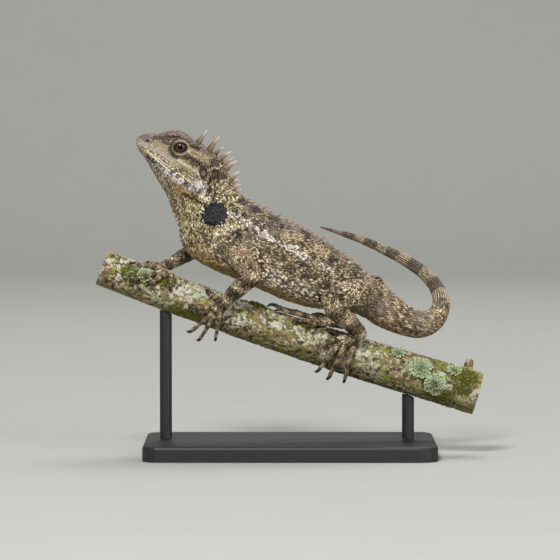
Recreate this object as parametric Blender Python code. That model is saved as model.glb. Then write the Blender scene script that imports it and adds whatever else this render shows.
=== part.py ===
"""A brown pricklenape lizard gripping a cut length of branch, life size, on a small display stand.

Places are in millimetres from the middle of the stand's underside: X runs from the snout towards the
tail, Y away from the side that is seen, Z up. The meshes are made in metres.
"""

import math

import bmesh
import bpy
from mathutils import Matrix, Vector

MM = 0.001
GAP = 0.3
SUNK = 0.9
BLADE = 90.0

# The body from the snout to the root of the tail: one row for each section, with the point on its
# upper edge, the point on its lower edge, the half width, how much it has the form of the head (1)
# or of the trunk (0), and where the mouth lies from the lower edge (0) to the upper one (1).
BODY = (
    ((-50.6, 104.3), (-50.5, 102.1), 1.3, 1.0, 0.40),
    ((-49.6, 105.4), (-49.7, 100.4), 2.7, 1.0, 0.40),
    ((-47.2, 106.2), (-48.0, 98.0), 3.9, 1.0, 0.40),
    ((-43.8, 106.2), (-46.2, 95.0), 5.0, 1.0, 0.43),
    ((-40.3, 106.3), (-44.3, 91.8), 6.0, 1.0, 0.445),
    ((-36.3, 106.2), (-42.3, 88.2), 6.9, 1.0, 0.45),
    ((-32.3, 104.7), (-40.6, 85.6), 7.8, 1.0, 0.465),
    ((-28.4, 102.5), (-39.3, 83.2), 8.6, 0.95, 0.49),
    ((-25.1, 99.9), (-38.3, 80.7), 8.6, 0.8, 0.54),
    ((-22.2, 96.5), (-37.3, 78.4), 8.2, 0.45, 0.56),
    ((-20.0, 91.9), (-36.0, 75.8), 7.7, 0.15, 0.55),
    ((-18.0, 87.5), (-35.2, 71.0), 8.3, 0.0, 0.5),
    ((-13.6, 83.4), (-33.0, 66.2), 9.2, 0.0, 0.5),
    ((-7.9, 80.4), (-25.4, 61.4), 9.8, 0.0, 0.5),
    ((-2.0, 77.5), (-16.4, 57.6), 10.3, 0.0, 0.5),
    ((4.0, 74.4), (-7.9, 53.8), 10.5, 0.0, 0.5),
    ((9.9, 71.2), (0.0, 50.5), 10.3, 0.0, 0.5),
    ((15.5, 67.3), (7.6, 48.6), 9.4, 0.0, 0.5),
    ((20.5, 63.6), (14.2, 48.0), 8.3, 0.0, 0.5),
    ((24.8, 60.1), (19.8, 47.2), 7.2, 0.0, 0.5),
    ((29.0, 56.6), (23.8, 45.8), 6.2, 0.0, 0.5),
    ((33.0, 51.6), (29.0, 44.2), 4.2, 0.0, 0.5),
)
BODY_PER_SPAN = 2
# Half of a head section from the middle of its top down to the middle of the throat: the share of
# the half width, and the height counted from the mouth to the top (above 0) or the bottom (below 0).
HEAD_HALF = (
    (0.00, 0.95), (0.24, 0.98), (0.46, 1.00), (0.63, 0.96), (0.69, 0.80), (0.70, 0.60),
    (0.79, 0.38), (0.94, 0.20), (0.99, 0.08), (0.89, 0.00), (0.98, -0.09), (0.96, -0.30),
    (0.78, -0.56), (0.40, -0.86), (0.00, -1.00),
)
HALF_RING = len(HEAD_HALF) - 1
# How much the trunk narrows towards its ridge, and the throat below the height where it starts.
ROOF = 0.20
THROAT_PINCH = 0.42
THROAT_ABOVE = 65.0

# The tail beyond the body's last section: middle (x, y, z) and radius. It swings away from the
# viewer round its bend, which the photographed side shows shortened.
TAIL = (
    ((24.5, 0.0, 53.6), 5.6),
    ((30.4, 0.3, 48.6), 5.7),
    ((36.6, 1.2, 44.9), 4.9),
    ((42.8, 4.0, 42.9), 4.3),
    ((47.7, 8.2, 44.3), 3.55),
    ((50.2, 12.6, 48.1), 2.8),
    ((49.9, 16.4, 52.6), 2.4),
    ((47.3, 19.4, 56.9), 2.15),
    ((42.9, 22.0, 60.8), 1.95),
    ((37.8, 23.6, 63.9), 1.75),
    ((33.0, 23.8, 66.3), 1.55),
    ((28.4, 22.8, 68.5), 1.35),
    ((23.8, 20.8, 70.4), 1.15),
    ((19.1, 18.0, 72.1), 0.9),
    ((14.4, 14.8, 73.6), 0.6),
    ((9.8, 11.4, 75.0), 0.3),
)
TAIL_SIDES = 14
TAIL_PER_SPAN = 3

# Where the form is parted: rows of the body's sections, then rows of the tail's smoothed path. A
# spine's root and tip stand at least CLEAR from a parting plane.
BODY_CUTS = (10, 13, 20)
TAIL_CUTS = (15, 24, 33)
CLEAR = 0.9

# The branch falls from left to right in a slight sag and thickens on the way.
BRANCH_MID_Z = 39.4
BRANCH_SLOPE = -0.335
BRANCH_SAG = 0.00045
BRANCH_HALF = 62.0
BRANCH_RADIUS = 6.55
BRANCH_SWELL = 0.0105
BRANCH_RINGS = 18
BRANCH_SIDES = 22
# The stub of a twig: its place along the branch and round it, and its (height, radius) from the bark.
STUB_X, STUB_TURN = 57.0, math.radians(-20.0)
STUB = ((-2.5, 1.9), (1.0, 1.6), (3.1, 1.3))

STAND_LONG, STAND_WIDE, STAND_THICK = 96.0, 62.0, 5.0
STAND_CORNER = 6.0
STAND_EDGE = 0.8
ROD_RADIUS = 2.0
ROD_AT = {"stand_rod_front": -41.0, "stand_rod_rear": 39.0}

# The crest of the nape, as (root, tip) in the middle plane, then a low saw of spines down the back.
NAPE_SPINES = (
    ((-24.6, 99.2), (-21.8, 101.8)), ((-22.9, 97.6), (-19.2, 100.2)), ((-21.9, 95.6), (-18.6, 98.3)),
    ((-21.3, 94.1), (-16.8, 97.3)), ((-19.4, 90.9), (-16.4, 93.8)), ((-19.3, 89.3), (-16.6, 91.2)),
    ((-18.7, 87.6), (-15.9, 89.5)), ((-17.9, 86.1), (-16.0, 87.8)), ((-16.6, 84.9), (-14.5, 86.3)),
)
# The back's spines follow these rows of the body, then these of the tail's path.
CREST_BODY_ROWS = (12, 13, 14, 15, 16, 17, 18, 19)
CREST_TAIL_ROWS = (2, 3, 4, 5, 6)
BACK_SPINES = 35
BACK_SPINE_LONG, BACK_SPINE_LAST = 2.7, 1.5
BACK_SPINE_WIDE, BACK_SPINE_NARROW = 0.66, 0.54
BACK_SPINE_UNEVEN = 0.22
CREST_LEAN = math.radians(50.0)
# The throat's pointed scales: how many, over which rows of the body, how far to the side as a share
# of the half width, how high above the lower edge in the middle and beside it, length and radius.
THROAT_SPINES = 15
THROAT_ROW, THROAT_ROWS = 5.6, 6.4
THROAT_ASIDE = 0.34
THROAT_RISE, THROAT_RISE_BESIDE = 0.3, 1.3
THROAT_SPINE_LONG, THROAT_SPINE_RADIUS = 1.9, 0.6
SPINE_SIDES = 5
# The two long spines of the left temple, as root, tip and radius.
FACE_SPINES = (
    ((-30.4, -4.7, 102.6), (-27.1, -5.6, 107.3), 0.95),
    ((-26.6, -4.6, 100.4), (-23.2, -5.8, 105.3), 1.05),
)

# The brow ridge from the nostril to the temple on the left side, as places and radii, and the
# swelling of the jaw.
BROW = (
    ((-48.2, -1.7, 104.3), 0.45), ((-45.4, -3.0, 104.9), 0.70), ((-42.0, -3.9, 105.5), 0.95),
    ((-39.0, -4.5, 105.9), 1.30), ((-36.2, -4.8, 105.7), 1.35), ((-33.6, -4.9, 104.2), 1.15),
    ((-31.2, -4.6, 102.0), 0.60),
)
JAW_AT, JAW_RADII = Vector((-31.4, -6.3, 88.3)), (5.4, 1.95, 3.4)
# The nostril and the ear on the left side: middle, radii of the rim and of the hollow, and how far
# out from the middle the hollow lies.
NOSTRIL_AT, NOSTRIL_RIM = Vector((-46.8, -3.0, 103.7)), (0.85, 0.5, 0.75)
NOSTRIL_HOLLOW, NOSTRIL_OUT = (0.45, 0.9, 0.38), 0.35
EAR_AT, EAR_RIM = Vector((-28.4, -6.9, 93.2)), (2.3, 1.25, 2.8)
EAR_HOLLOW, EAR_OUT = (1.6, 1.2, 2.1), 1.4

# Each eye: its middle on the left side, the ball's radius, the lids' outer radius and their slit.
EYE_AT = Vector((-36.0, -3.7, 101.5))
EYE_RADIUS = 2.5
LID_RADIUS = 3.15
SLIT_LONG, SLIT_TALL = 2.2, 1.65
SLIT_OUT, SLIT_DEEP = 4.0, 6.0

# The limbs from root to palm or sole: knots (x, y, z) with radii. Left is the side that is seen.
LIMBS = {
    "arm_left": (
        ((-22.5, -3.0, 73.5), 4.6), ((-18.6, -8.4, 67.8), 4.0), ((-14.6, -11.6, 63.2), 3.4),
        ((-12.9, -12.6, 60.0), 3.1), ((-15.0, -11.9, 57.2), 2.9), ((-18.4, -10.2, 53.9), 2.5),
        ((-21.2, -8.7, 50.9), 2.0), ((-23.6, -7.9, 48.4), 1.8),
    ),
    "arm_right": (
        ((-22.0, 3.0, 73.5), 4.4), ((-23.4, 9.0, 71.4), 3.7), ((-25.4, 12.0, 70.0), 3.2),
        ((-27.8, 12.8, 69.2), 2.9), ((-31.0, 11.0, 67.6), 2.7), ((-35.4, 7.0, 65.3), 2.4),
        ((-39.8, 2.2, 62.9), 1.9), ((-42.6, -0.6, 61.6), 1.7),
    ),
    "leg_left": (
        ((27.4, -2.0, 54.0), 5.2), ((22.2, -8.6, 54.2), 4.6), ((17.4, -13.2, 53.6), 4.0),
        ((14.2, -15.2, 52.2), 3.5), ((14.6, -14.4, 49.0), 3.3), ((17.4, -12.2, 46.2), 3.1),
        ((20.8, -9.8, 43.0), 2.6), ((23.0, -8.0, 40.3), 2.2), ((20.6, -7.9, 38.9), 2.0),
        ((17.2, -7.8, 38.6), 1.9),
    ),
    "leg_right": (
        ((27.4, 2.0, 54.0), 5.2), ((23.6, 8.6, 54.6), 4.5), ((19.4, 13.4, 54.4), 3.9),
        ((16.2, 15.6, 53.0), 3.4), ((16.0, 14.6, 50.2), 3.2), ((17.6, 11.6, 47.8), 2.9),
        ((19.2, 8.6, 45.6), 2.5), ((19.6, 5.4, 43.6), 2.1), ((16.0, 3.2, 43.5), 1.9),
        ((11.6, 1.4, 44.5), 1.8), ((9.0, 0.8, 45.4), 1.6),
    ),
}
# Where each limb is parted, as the number of its knot: elbow and wrist, or knee and ankle.
JOINTS = {"arm_left": (3, 6), "arm_right": (3, 6), "leg_left": (3, 7), "leg_right": (3, 7)}
SEGMENTS = {"arm": ("upper_arm", "forearm", "hand"), "leg": ("thigh", "shank", "foot")}
PALM_RADII = {
    "arm_left": (2.3, 1.7, 2.3), "arm_right": (2.5, 2.2, 1.6),
    "leg_left": (2.6, 1.8, 2.1), "leg_right": (2.6, 2.2, 1.6),
}
LIMB_SIDES = 12
LIMB_PER_SPAN = 2

# The digits, the innermost first. Each starts at an x and a turn round the branch (0 on top, 90 on
# the side that is seen) and has its heading on the unrolled bark (0 towards the head, 90 down the
# side that is seen) and its length without the claw.
DIGITS = {
    "arm_left": (
        (-24.2, 66.0, -28.0, 4.6), (-25.0, 80.0, 22.0, 7.0), (-25.0, 97.0, 62.0, 9.6),
        (-24.3, 100.0, 80.0, 10.4), (-22.9, 99.0, 100.0, 7.6),
    ),
    "arm_right": (
        (-40.9, 34.0, 100.0, 4.2), (-42.9, 38.0, 57.0, 6.6), (-44.4, 38.0, 40.0, 9.6),
        (-45.2, 24.0, 16.0, 8.4), (-44.2, 4.0, -32.0, 5.6),
    ),
    "leg_left": (
        (15.2, 42.0, -3.0, 3.8), (14.6, 52.0, 46.0, 10.4), (15.2, 68.0, 72.0, 11.4),
        (16.8, 70.0, 84.0, 12.6), (19.6, 66.0, 94.0, 11.6),
    ),
    "leg_right": (
        (8.4, 20.0, 44.0, 5.0), (8.2, 15.0, 26.0, 8.6), (7.6, 6.0, 10.0, 13.6),
        (7.4, -6.0, -3.0, 16.0), (9.6, -16.0, -45.0, 8.4),
    ),
}
DIGIT_RADIUS = 0.86
DIGIT_KNOTS = 6
CLAW_RADIUS = 0.46
CLAW_HOOK = 1.5
# The claw's hook as (turn in degrees, share of the claw's radius).
CLAW_BENDS = ((25.0, 1.0), (52.0, 0.8), (78.0, 0.5), (98.0, 0.16))
LEAVE_BARK_AT = math.radians(118.0)

COLOURS = {
    "skin": ((0.235, 0.190, 0.120), 0.75),
    "spine": ((0.42, 0.34, 0.25), 0.6),
    "eye": ((0.16, 0.07, 0.03), 0.15),
    "bark": ((0.30, 0.27, 0.20), 0.9),
    "stand": ((0.030, 0.030, 0.032), 0.45),
}


def clear_scene():
    for thing in list(bpy.data.objects):
        bpy.data.objects.remove(thing, do_unlink=True)


def material(name):
    colour, roughness = COLOURS[name]
    made = bpy.data.materials.get(name) or bpy.data.materials.new(name)
    made.use_nodes = True
    shader = made.node_tree.nodes["Principled BSDF"]
    shader.inputs["Base Color"].default_value = (*colour, 1.0)
    shader.inputs["Roughness"].default_value = roughness
    return made


def new_object(name, mesh, collection, finish="skin"):
    made = bpy.data.objects.new(name, mesh)
    made.data.materials.append(material(finish))
    collection.objects.link(made)
    return made


def mesh_from(bm, name):
    """A bmesh in millimetres as a mesh in metres."""
    bmesh.ops.recalc_face_normals(bm, faces=bm.faces)
    bmesh.ops.scale(bm, vec=(MM, MM, MM), verts=bm.verts)
    mesh = bpy.data.meshes.new(name)
    bm.to_mesh(mesh)
    bm.free()
    return mesh


def smooth_path(knots, per_span):
    """Rows of (place, radius) on a Catmull-Rom curve through such knots, per_span to a span."""
    rows = [Vector((*place, radius)) for place, radius in knots]
    first = rows[0] * 2 - rows[1]
    last = rows[-1] * 2 - rows[-2]
    rows = [first, *rows, last]
    out = []
    for i in range(1, len(rows) - 2):
        a, b, c, d = rows[i - 1 : i + 3]
        for step in range(per_span):
            t = step / per_span
            out.append(
                (b * 2 + (c - a) * t + (a * 2 - b * 5 + c * 4 - d) * t**2
                 + (b * 3 - a - c * 3 + d) * t**3) * 0.5
            )
    out.append(rows[-2])
    return [(row.xyz, max(row.w, 0.1)) for row in out]


def loft(rings, name):
    """A closed surface through rings of the same number of points. A last ring of one point is the
    tip of a cone."""
    bm = bmesh.new()
    rows = [[bm.verts.new(p) for p in ring] for ring in rings]
    count = len(rows[0])
    for one, two in zip(rows, rows[1:]):
        for k in range(count):
            after = (k + 1) % count
            if len(two) == 1:
                bm.faces.new((one[k], one[after], two[0]))
            else:
                bm.faces.new((one[k], one[after], two[after], two[k]))
    bm.faces.new(rows[0])
    if len(rows[-1]) > 1:
        bm.faces.new(rows[-1])
    return mesh_from(bm, name)


def round_rings(path, sides, grow=0.0, flat=1.0):
    """Rings square to a path, turned as little as possible from one to the next."""
    places = [place for place, _ in path]
    ahead = [
        (places[min(i + 1, len(places) - 1)] - places[max(i - 1, 0)]).normalized()
        for i in range(len(places))
    ]
    side = Vector((0.0, 1.0, 0.0))
    if abs(ahead[0].dot(side)) > 0.9:
        side = Vector((0.0, 0.0, 1.0))
    rings = []
    for (place, radius), forward in zip(path, ahead):
        side = (side - forward * side.dot(forward)).normalized()
        up = forward.cross(side)
        rings.append([
            place
            + side * (math.cos(math.tau * k / sides) * (radius * flat + grow))
            + up * (math.sin(math.tau * k / sides) * (radius + grow))
            for k in range(sides)
        ])
    return rings


def tube(name, path, collection, finish="skin"):
    """A curve with a round bevel along a path of (place, radius), made a closed mesh."""
    curve = bpy.data.curves.new(name, "CURVE")
    curve.dimensions = "3D"
    curve.bevel_depth = MM
    curve.bevel_resolution = 1
    curve.use_fill_caps = True
    spline = curve.splines.new("POLY")
    spline.points.add(len(path) - 1)
    for point, (place, radius) in zip(spline.points, path):
        point.co = (*(place * MM), 1.0)
        point.radius = radius
    carrier = bpy.data.objects.new(name + "_line", curve)
    collection.objects.link(carrier)
    bpy.context.view_layer.update()
    graph = bpy.context.evaluated_depsgraph_get()
    mesh = bpy.data.meshes.new_from_object(carrier.evaluated_get(graph))
    bpy.data.objects.remove(carrier, do_unlink=True)
    bm = bmesh.new()
    bm.from_mesh(mesh)
    bmesh.ops.remove_doubles(bm, verts=bm.verts, dist=0.002 * MM)
    bmesh.ops.recalc_face_normals(bm, faces=bm.faces)
    bm.to_mesh(mesh)
    bm.free()
    return new_object(name, mesh, collection, finish)


def ball(name, place, radii, collection, across=12, rows=7, finish="skin"):
    bm = bmesh.new()
    bmesh.ops.create_uvsphere(bm, u_segments=across, v_segments=rows, radius=1.0)
    bmesh.ops.rotate(bm, matrix=Matrix.Rotation(math.pi / 2, 3, "X"), verts=bm.verts)
    bmesh.ops.scale(bm, vec=radii, verts=bm.verts)
    bmesh.ops.translate(bm, vec=place, verts=bm.verts)
    return new_object(name, mesh_from(bm, name), collection, finish)


def rod(name, place, turn, radii, length, collection, across=16, finish="skin"):
    """A cylinder, oval where its two radii differ, along its own Z before the turn."""
    bm = bmesh.new()
    bmesh.ops.create_cone(
        bm, cap_ends=True, segments=across, radius1=1.0, radius2=1.0, depth=length
    )
    bmesh.ops.scale(bm, vec=(*radii, 1.0), verts=bm.verts)
    bmesh.ops.rotate(bm, matrix=turn, verts=bm.verts)
    bmesh.ops.translate(bm, vec=place, verts=bm.verts)
    return new_object(name, mesh_from(bm, name), collection, finish)


def evaluated_mesh(thing):
    bpy.context.view_layer.update()
    graph = bpy.context.evaluated_depsgraph_get()
    return bpy.data.meshes.new_from_object(thing.evaluated_get(graph))


def keep_largest(mesh):
    """Leaves only the largest closed surface, and welds what a Boolean left closer than 1 um."""
    bm = bmesh.new()
    bm.from_mesh(mesh)
    bmesh.ops.remove_doubles(bm, verts=bm.verts, dist=0.001 * MM)
    seen, shells = set(), []
    for start in bm.faces:
        if start in seen:
            continue
        shell, todo = [], [start]
        seen.add(start)
        while todo:
            face = todo.pop()
            shell.append(face)
            for edge in face.edges:
                for other in edge.link_faces:
                    if other not in seen:
                        seen.add(other)
                        todo.append(other)
        shells.append(shell)
    shells.sort(key=lambda shell: sum(face.calc_area() for face in shell))
    drop = [face for shell in shells[:-1] for face in shell]
    if drop:
        bmesh.ops.delete(bm, geom=drop, context="FACES")
    bmesh.ops.triangulate(bm, faces=[f for f in bm.faces if len(f.verts) > 4])
    bm.to_mesh(mesh)
    bm.free()


def combine(base, others, operation):
    """Joins others to base, or cuts them from it, in one applied Boolean. The others are removed."""
    if not others:
        return base
    group = bpy.data.collections.new(base.name + "_pieces")
    bpy.context.scene.collection.children.link(group)
    for other in others:
        for holder in list(other.users_collection):
            holder.objects.unlink(other)
        group.objects.link(other)
    modifier = base.modifiers.new("combine", "BOOLEAN")
    modifier.operation = operation
    modifier.operand_type = "COLLECTION"
    modifier.collection = group
    modifier.solver = "EXACT"
    modifier.use_self = operation == "UNION"
    mesh = evaluated_mesh(base)
    base.modifiers.clear()
    old = base.data
    base.data = mesh
    bpy.data.meshes.remove(old)
    for other in others:
        bpy.data.objects.remove(other, do_unlink=True)
    bpy.data.collections.remove(group)
    keep_largest(base.data)
    return base


def copy_of(thing, name, collection):
    made = thing.copy()
    made.data = thing.data.copy()
    made.name = name
    collection.objects.link(made)
    return made


def blade(place, facing, collection):
    """A block that takes away what lies beyond a plane on the side that it faces."""
    bm = bmesh.new()
    bmesh.ops.create_cube(bm, size=BLADE)
    bmesh.ops.translate(bm, vec=(0.0, 0.0, BLADE / 2), verts=bm.verts)
    bmesh.ops.rotate(bm, matrix=facing.to_track_quat("Z", "Y").to_matrix(), verts=bm.verts)
    bmesh.ops.translate(bm, vec=place, verts=bm.verts)
    return new_object("blade", mesh_from(bm, "blade"), collection)


def blades_for(start, end, collection):
    """Blocks for the two ends of a part, as planes of (place, direction towards the tip)."""
    made = []
    if start:
        made.append(blade(start[0] + start[1] * (GAP / 2), -start[1], collection))
    if end:
        made.append(blade(end[0] - end[1] * (GAP / 2), end[1], collection))
    return made


def body_rows(per_span):
    """The table of the body's sections on a smooth curve, as rows of seven numbers."""
    rows = [(*top, *bottom, *rest) for top, bottom, *rest in BODY]
    first = [2 * a - b for a, b in zip(rows[0], rows[1])]
    last = [2 * a - b for a, b in zip(rows[-1], rows[-2])]
    rows = [first, *rows, last]
    out = []
    for i in range(1, len(rows) - 2):
        for step in range(per_span):
            t = step / per_span
            out.append([
                0.5 * (2 * b + (c - a) * t + (2 * a - 5 * b + 4 * c - d) * t**2
                       + (3 * b - a - 3 * c + d) * t**3)
                for a, b, c, d in zip(*rows[i - 1 : i + 3])
            ])
    out.append(list(rows[-2]))
    return out


def body_ring(row, grow):
    """One section of the body as a ring of points, from the middle of the back down the near side."""
    top = Vector((row[0], 0.0, row[1]))
    bottom = Vector((row[2], 0.0, row[3]))
    half, headness, mouth = row[4:]
    headness = min(max(headness, 0.0), 1.0)
    tall = (top - bottom).length
    up = (top - bottom) / tall
    side_points = []
    for k in range(HALF_RING + 1):
        turn = math.pi * k / HALF_RING
        trunk_side = math.sin(turn) * (1 - ROOF * max(math.cos(turn), 0.0))
        trunk_high = (1 + math.cos(turn)) / 2
        if bottom.z > THROAT_ABOVE:
            trunk_side *= 1 - THROAT_PINCH * (1 - trunk_high) ** 1.6
        head_side, level = HEAD_HALF[k]
        head_high = mouth + level * ((1 - mouth) if level > 0 else mouth)
        across = headness * head_side + (1 - headness) * trunk_side
        high = headness * head_high + (1 - headness) * trunk_high
        side_points.append((across, high))
    ring = []
    for k in range(2 * HALF_RING):
        across, high = side_points[k if k <= HALF_RING else 2 * HALF_RING - k]
        sign = -1.0 if k <= HALF_RING else 1.0
        ring.append(
            bottom
            + up * (-grow + high * (tall + 2 * grow))
            + Vector((0.0, sign * across * (half + grow), 0.0))
        )
    return ring


def make_body(name, collection, grow=0.0):
    """The head, neck and trunk as one smooth form."""
    rings = [body_ring(row, grow) for row in body_rows(BODY_PER_SPAN)]
    return new_object(name, loft(rings, name), collection)


def crest_line():
    """Places along the ridge from the withers to the root of the tail, each with the way out."""
    line = []
    for row in CREST_BODY_ROWS:
        (top_x, top_z), (low_x, low_z) = BODY[row][:2]
        out = Vector((top_x - low_x, 0.0, top_z - low_z)).normalized()
        line.append((Vector((top_x, 0.0, top_z)), out))
    path = smooth_path(TAIL, TAIL_PER_SPAN)
    for row in CREST_TAIL_ROWS:
        ahead = path[row + 1][0] - path[row - 1][0]
        out = ahead.cross(Vector((0.0, 1.0, 0.0))).normalized()
        line.append((path[row][0] + out * path[row][1], out))
    return line


def spread_along(line, count):
    """Places at even steps along a line of (place, direction), from its first to its last."""
    gone = [0.0]
    for (one, _), (two, _) in zip(line, line[1:]):
        gone.append(gone[-1] + (two - one).length)
    made = []
    for number in range(count):
        mark = gone[-1] * number / (count - 1)
        i = max(k for k in range(len(line) - 1) if gone[k] <= mark)
        t = (mark - gone[i]) / (gone[i + 1] - gone[i])
        made.append((line[i][0].lerp(line[i + 1][0], t), line[i][1].lerp(line[i + 1][1], t)))
    return made


def branch_axis(x):
    """The branch's middle, the way along it towards the tail, its upward normal and its radius."""
    middle = Vector((x, 0.0, BRANCH_MID_Z + BRANCH_SLOPE * x + BRANCH_SAG * x * x))
    along = Vector((1.0, 0.0, BRANCH_SLOPE + 2 * BRANCH_SAG * x)).normalized()
    up = Vector((-along.z, 0.0, along.x))
    return middle, along, up, BRANCH_RADIUS + BRANCH_SWELL * x


def bark_place(x, round_by, lift):
    """A place above the bark: round_by is the angle from the top towards the side that is seen."""
    middle, _, up, radius = branch_axis(x)
    out = up * math.cos(round_by) + Vector((0.0, -math.sin(round_by), 0.0))
    return middle + out * (radius + lift), out


def make_branch(name, collection, grow=0.0, knots=True):
    rings = []
    for i in range(BRANCH_RINGS + 1):
        x = BRANCH_HALF * (2 * i / BRANCH_RINGS - 1) * (1 + grow / BRANCH_HALF)
        middle, _, up, radius = branch_axis(x)
        rings.append([
            middle
            + up * (math.cos(math.tau * k / BRANCH_SIDES) * (radius + grow))
            + Vector((0.0, math.sin(math.tau * k / BRANCH_SIDES) * (radius + grow), 0.0))
            for k in range(BRANCH_SIDES)
        ])
    made = new_object(name, loft(rings, name), collection, "bark")
    if not knots:
        return made
    stub = [(bark_place(STUB_X, STUB_TURN, height)[0], radius) for height, radius in STUB]
    return combine(made, [tube(name + "_stub", stub, collection, "bark")], "UNION")


def spine(name, root, tip, radius, bend, collection):
    """A thorn from a sunk root to its tip, bowed by a share of its length."""
    length = (tip - root).length
    ahead = (tip - root) / length
    sag = Vector((ahead.z, 0.0, -ahead.x)) * (bend * length)
    base = root - ahead * SUNK
    path = [(base, radius * 1.1), (root.lerp(tip, 0.45) + sag, radius * 0.56), (tip, 0.0)]
    rings = round_rings(path, SPINE_SIDES, flat=0.72)
    mesh = loft([*rings[:-1], [tip]], name)
    return new_object(name, mesh, collection, "spine")


def crest_spines(collection):
    """The spines of the nape and back, each with the places of its root and tip."""
    made = []
    for i, (root, tip) in enumerate(NAPE_SPINES):
        root, tip = Vector((root[0], 0.0, root[1])), Vector((tip[0], 0.0, tip[1]))
        radius = 0.36 + 0.13 * (tip - root).length
        made.append((root, tip, spine(f"nape_{i}", root, tip, radius, 0.06, collection)))
    for i, (root, out) in enumerate(spread_along(crest_line(), BACK_SPINES)):
        t = i / (BACK_SPINES - 1)
        length = BACK_SPINE_LONG + (BACK_SPINE_LAST - BACK_SPINE_LONG) * t
        length *= 1.0 + BACK_SPINE_UNEVEN * math.cos(2.4 * i)
        radius = BACK_SPINE_WIDE + (BACK_SPINE_NARROW - BACK_SPINE_WIDE) * t
        back = Vector((out.z, 0.0, -out.x))
        ahead = out * math.cos(CREST_LEAN) + back * math.sin(CREST_LEAN)
        root = root - out * 0.4
        tip = root + ahead * (length + 0.4)
        made.append((root, tip, spine(f"back_{i}", root, tip, radius, 0.10, collection)))
    return made


def throat_spines(collection):
    """Short pointed scales along the middle of the throat and down its sides."""
    made = []
    for i in range(THROAT_SPINES):
        side = (0.0, -1.0, 1.0)[i % 3]
        place = THROAT_ROW + THROAT_ROWS * i / THROAT_SPINES
        k = int(place)
        low = Vector(BODY[k][1]).lerp(Vector(BODY[k + 1][1]), place - k)
        high = Vector(BODY[k][0]).lerp(Vector(BODY[k + 1][0]), place - k)
        half = BODY[k][2] + (BODY[k + 1][2] - BODY[k][2]) * (place - k)
        up = (high - low).normalized()
        rise = THROAT_RISE + THROAT_RISE_BESIDE * abs(side)
        root = Vector((low.x + up.x * rise, side * half * THROAT_ASIDE, low.y + up.y * rise))
        ahead = Vector((0.30 - up.x * 0.7, side * 0.4, -0.95 - up.y * 0.2)).normalized()
        tip = root + ahead * THROAT_SPINE_LONG
        thorn = spine(f"throat_{i}", root, tip, THROAT_SPINE_RADIUS, 0.0, collection)
        made.append((root, tip, thorn))
    return made


def on_side(place, side):
    """A place of the left side, or its mirror place where the side is 1."""
    return Vector((place[0], -side * place[1], place[2]))


def finish_head(head, collection):
    """Brows, lids, temple spines, nostrils and ears on the head, in one union and one cut."""
    add, cut = [], []
    across = Matrix.Rotation(math.pi / 2, 3, "X")
    for side in (-1.0, 1.0):
        name = "left" if side < 0 else "right"
        outward = Vector((0.0, side, 0.0))
        brow = [(on_side(place, side), radius) for place, radius in BROW]
        eye, jaw = on_side(EYE_AT, side), on_side(JAW_AT, side)
        nostril, ear = on_side(NOSTRIL_AT, side), on_side(EAR_AT, side)
        add += [
            tube(f"brow_{name}", brow, collection),
            ball(f"lids_{name}", eye, (LID_RADIUS,) * 3, collection, 16, 9),
            ball(f"jaw_{name}", jaw, JAW_RADII, collection),
            ball(f"nostril_rim_{name}", nostril, NOSTRIL_RIM, collection, 10, 6),
            ball(f"ear_rim_{name}", ear, EAR_RIM, collection),
        ]
        for i, (root, tip, radius) in enumerate(FACE_SPINES):
            root, tip = on_side(root, side), on_side(tip, side)
            add.append(spine(f"face_{i}_{name}", root, tip, radius, 0.08, collection))
        cut += [
            ball(f"nostril_{name}", nostril + outward * NOSTRIL_OUT, NOSTRIL_HOLLOW, collection, 8, 6),
            ball(f"socket_{name}", eye, (EYE_RADIUS + GAP,) * 3, collection, 14, 9),
            rod(f"slit_{name}", eye + outward * SLIT_OUT, across, (SLIT_LONG, SLIT_TALL), SLIT_DEEP,
                collection),
            ball(f"ear_{name}", ear + outward * EAR_OUT, EAR_HOLLOW, collection),
        ]
    combine(head, add, "UNION")
    combine(head, cut, "DIFFERENCE")


def make_eye(side, collection):
    name = "eye_left" if side < 0 else "eye_right"
    return ball(name, on_side(EYE_AT, side), (EYE_RADIUS,) * 3, collection, 16, 10, "eye")


def digit_path(limb, number):
    """The line of one digit: over the bark, then off it where it turns under, and the claw."""
    x, turn, heading, length = DIGITS[limb][number]
    turn, heading = math.radians(turn), math.radians(heading)
    step = length / DIGIT_KNOTS
    end_turn = turn + length * math.sin(heading) / (BRANCH_RADIUS + 1.0)
    leaves = abs(end_turn) > LEAVE_BARK_AT
    path = []
    ahead = None
    for i in range(DIGIT_KNOTS + 1):
        share = i / DIGIT_KNOTS
        radius = DIGIT_RADIUS * (1.0 - 0.34 * share) * (1.0 + 0.09 * math.cos(12.6 * share))
        if path and abs(turn) > LEAVE_BARK_AT:
            path.append((path[-1][0] + ahead * step, radius))
            continue
        lift = GAP + radius * 0.86 + 0.42 * math.sin(math.pi * min(share * 1.2, 1.0))
        if not leaves:
            lift += 0.75 * share**3
        around = step * math.sin(heading) / (branch_axis(x)[3] + lift)
        along = -step * math.cos(heading) * branch_axis(x)[1].x
        place = bark_place(x, turn, lift)[0]
        ahead = (bark_place(x + along, turn + around, lift)[0] - place).normalized()
        path.append((place, radius))
        x += along
        turn += around
    tip = path[-1][0]
    middle, _, _, thick = branch_axis(tip.x)
    inward = middle - tip
    hook = CLAW_HOOK if leaves else min(CLAW_HOOK, inward.length - thick - GAP - 0.15)
    inward = (inward - ahead * inward.dot(ahead)).normalized()
    claw = []
    for bend, radius in CLAW_BENDS:
        bend = math.radians(bend)
        place = tip + ahead * (math.sin(bend) * CLAW_HOOK * 1.25)
        claw.append((place + inward * ((1 - math.cos(bend)) * hook * 0.9), CLAW_RADIUS * radius))
    return path + claw


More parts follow.
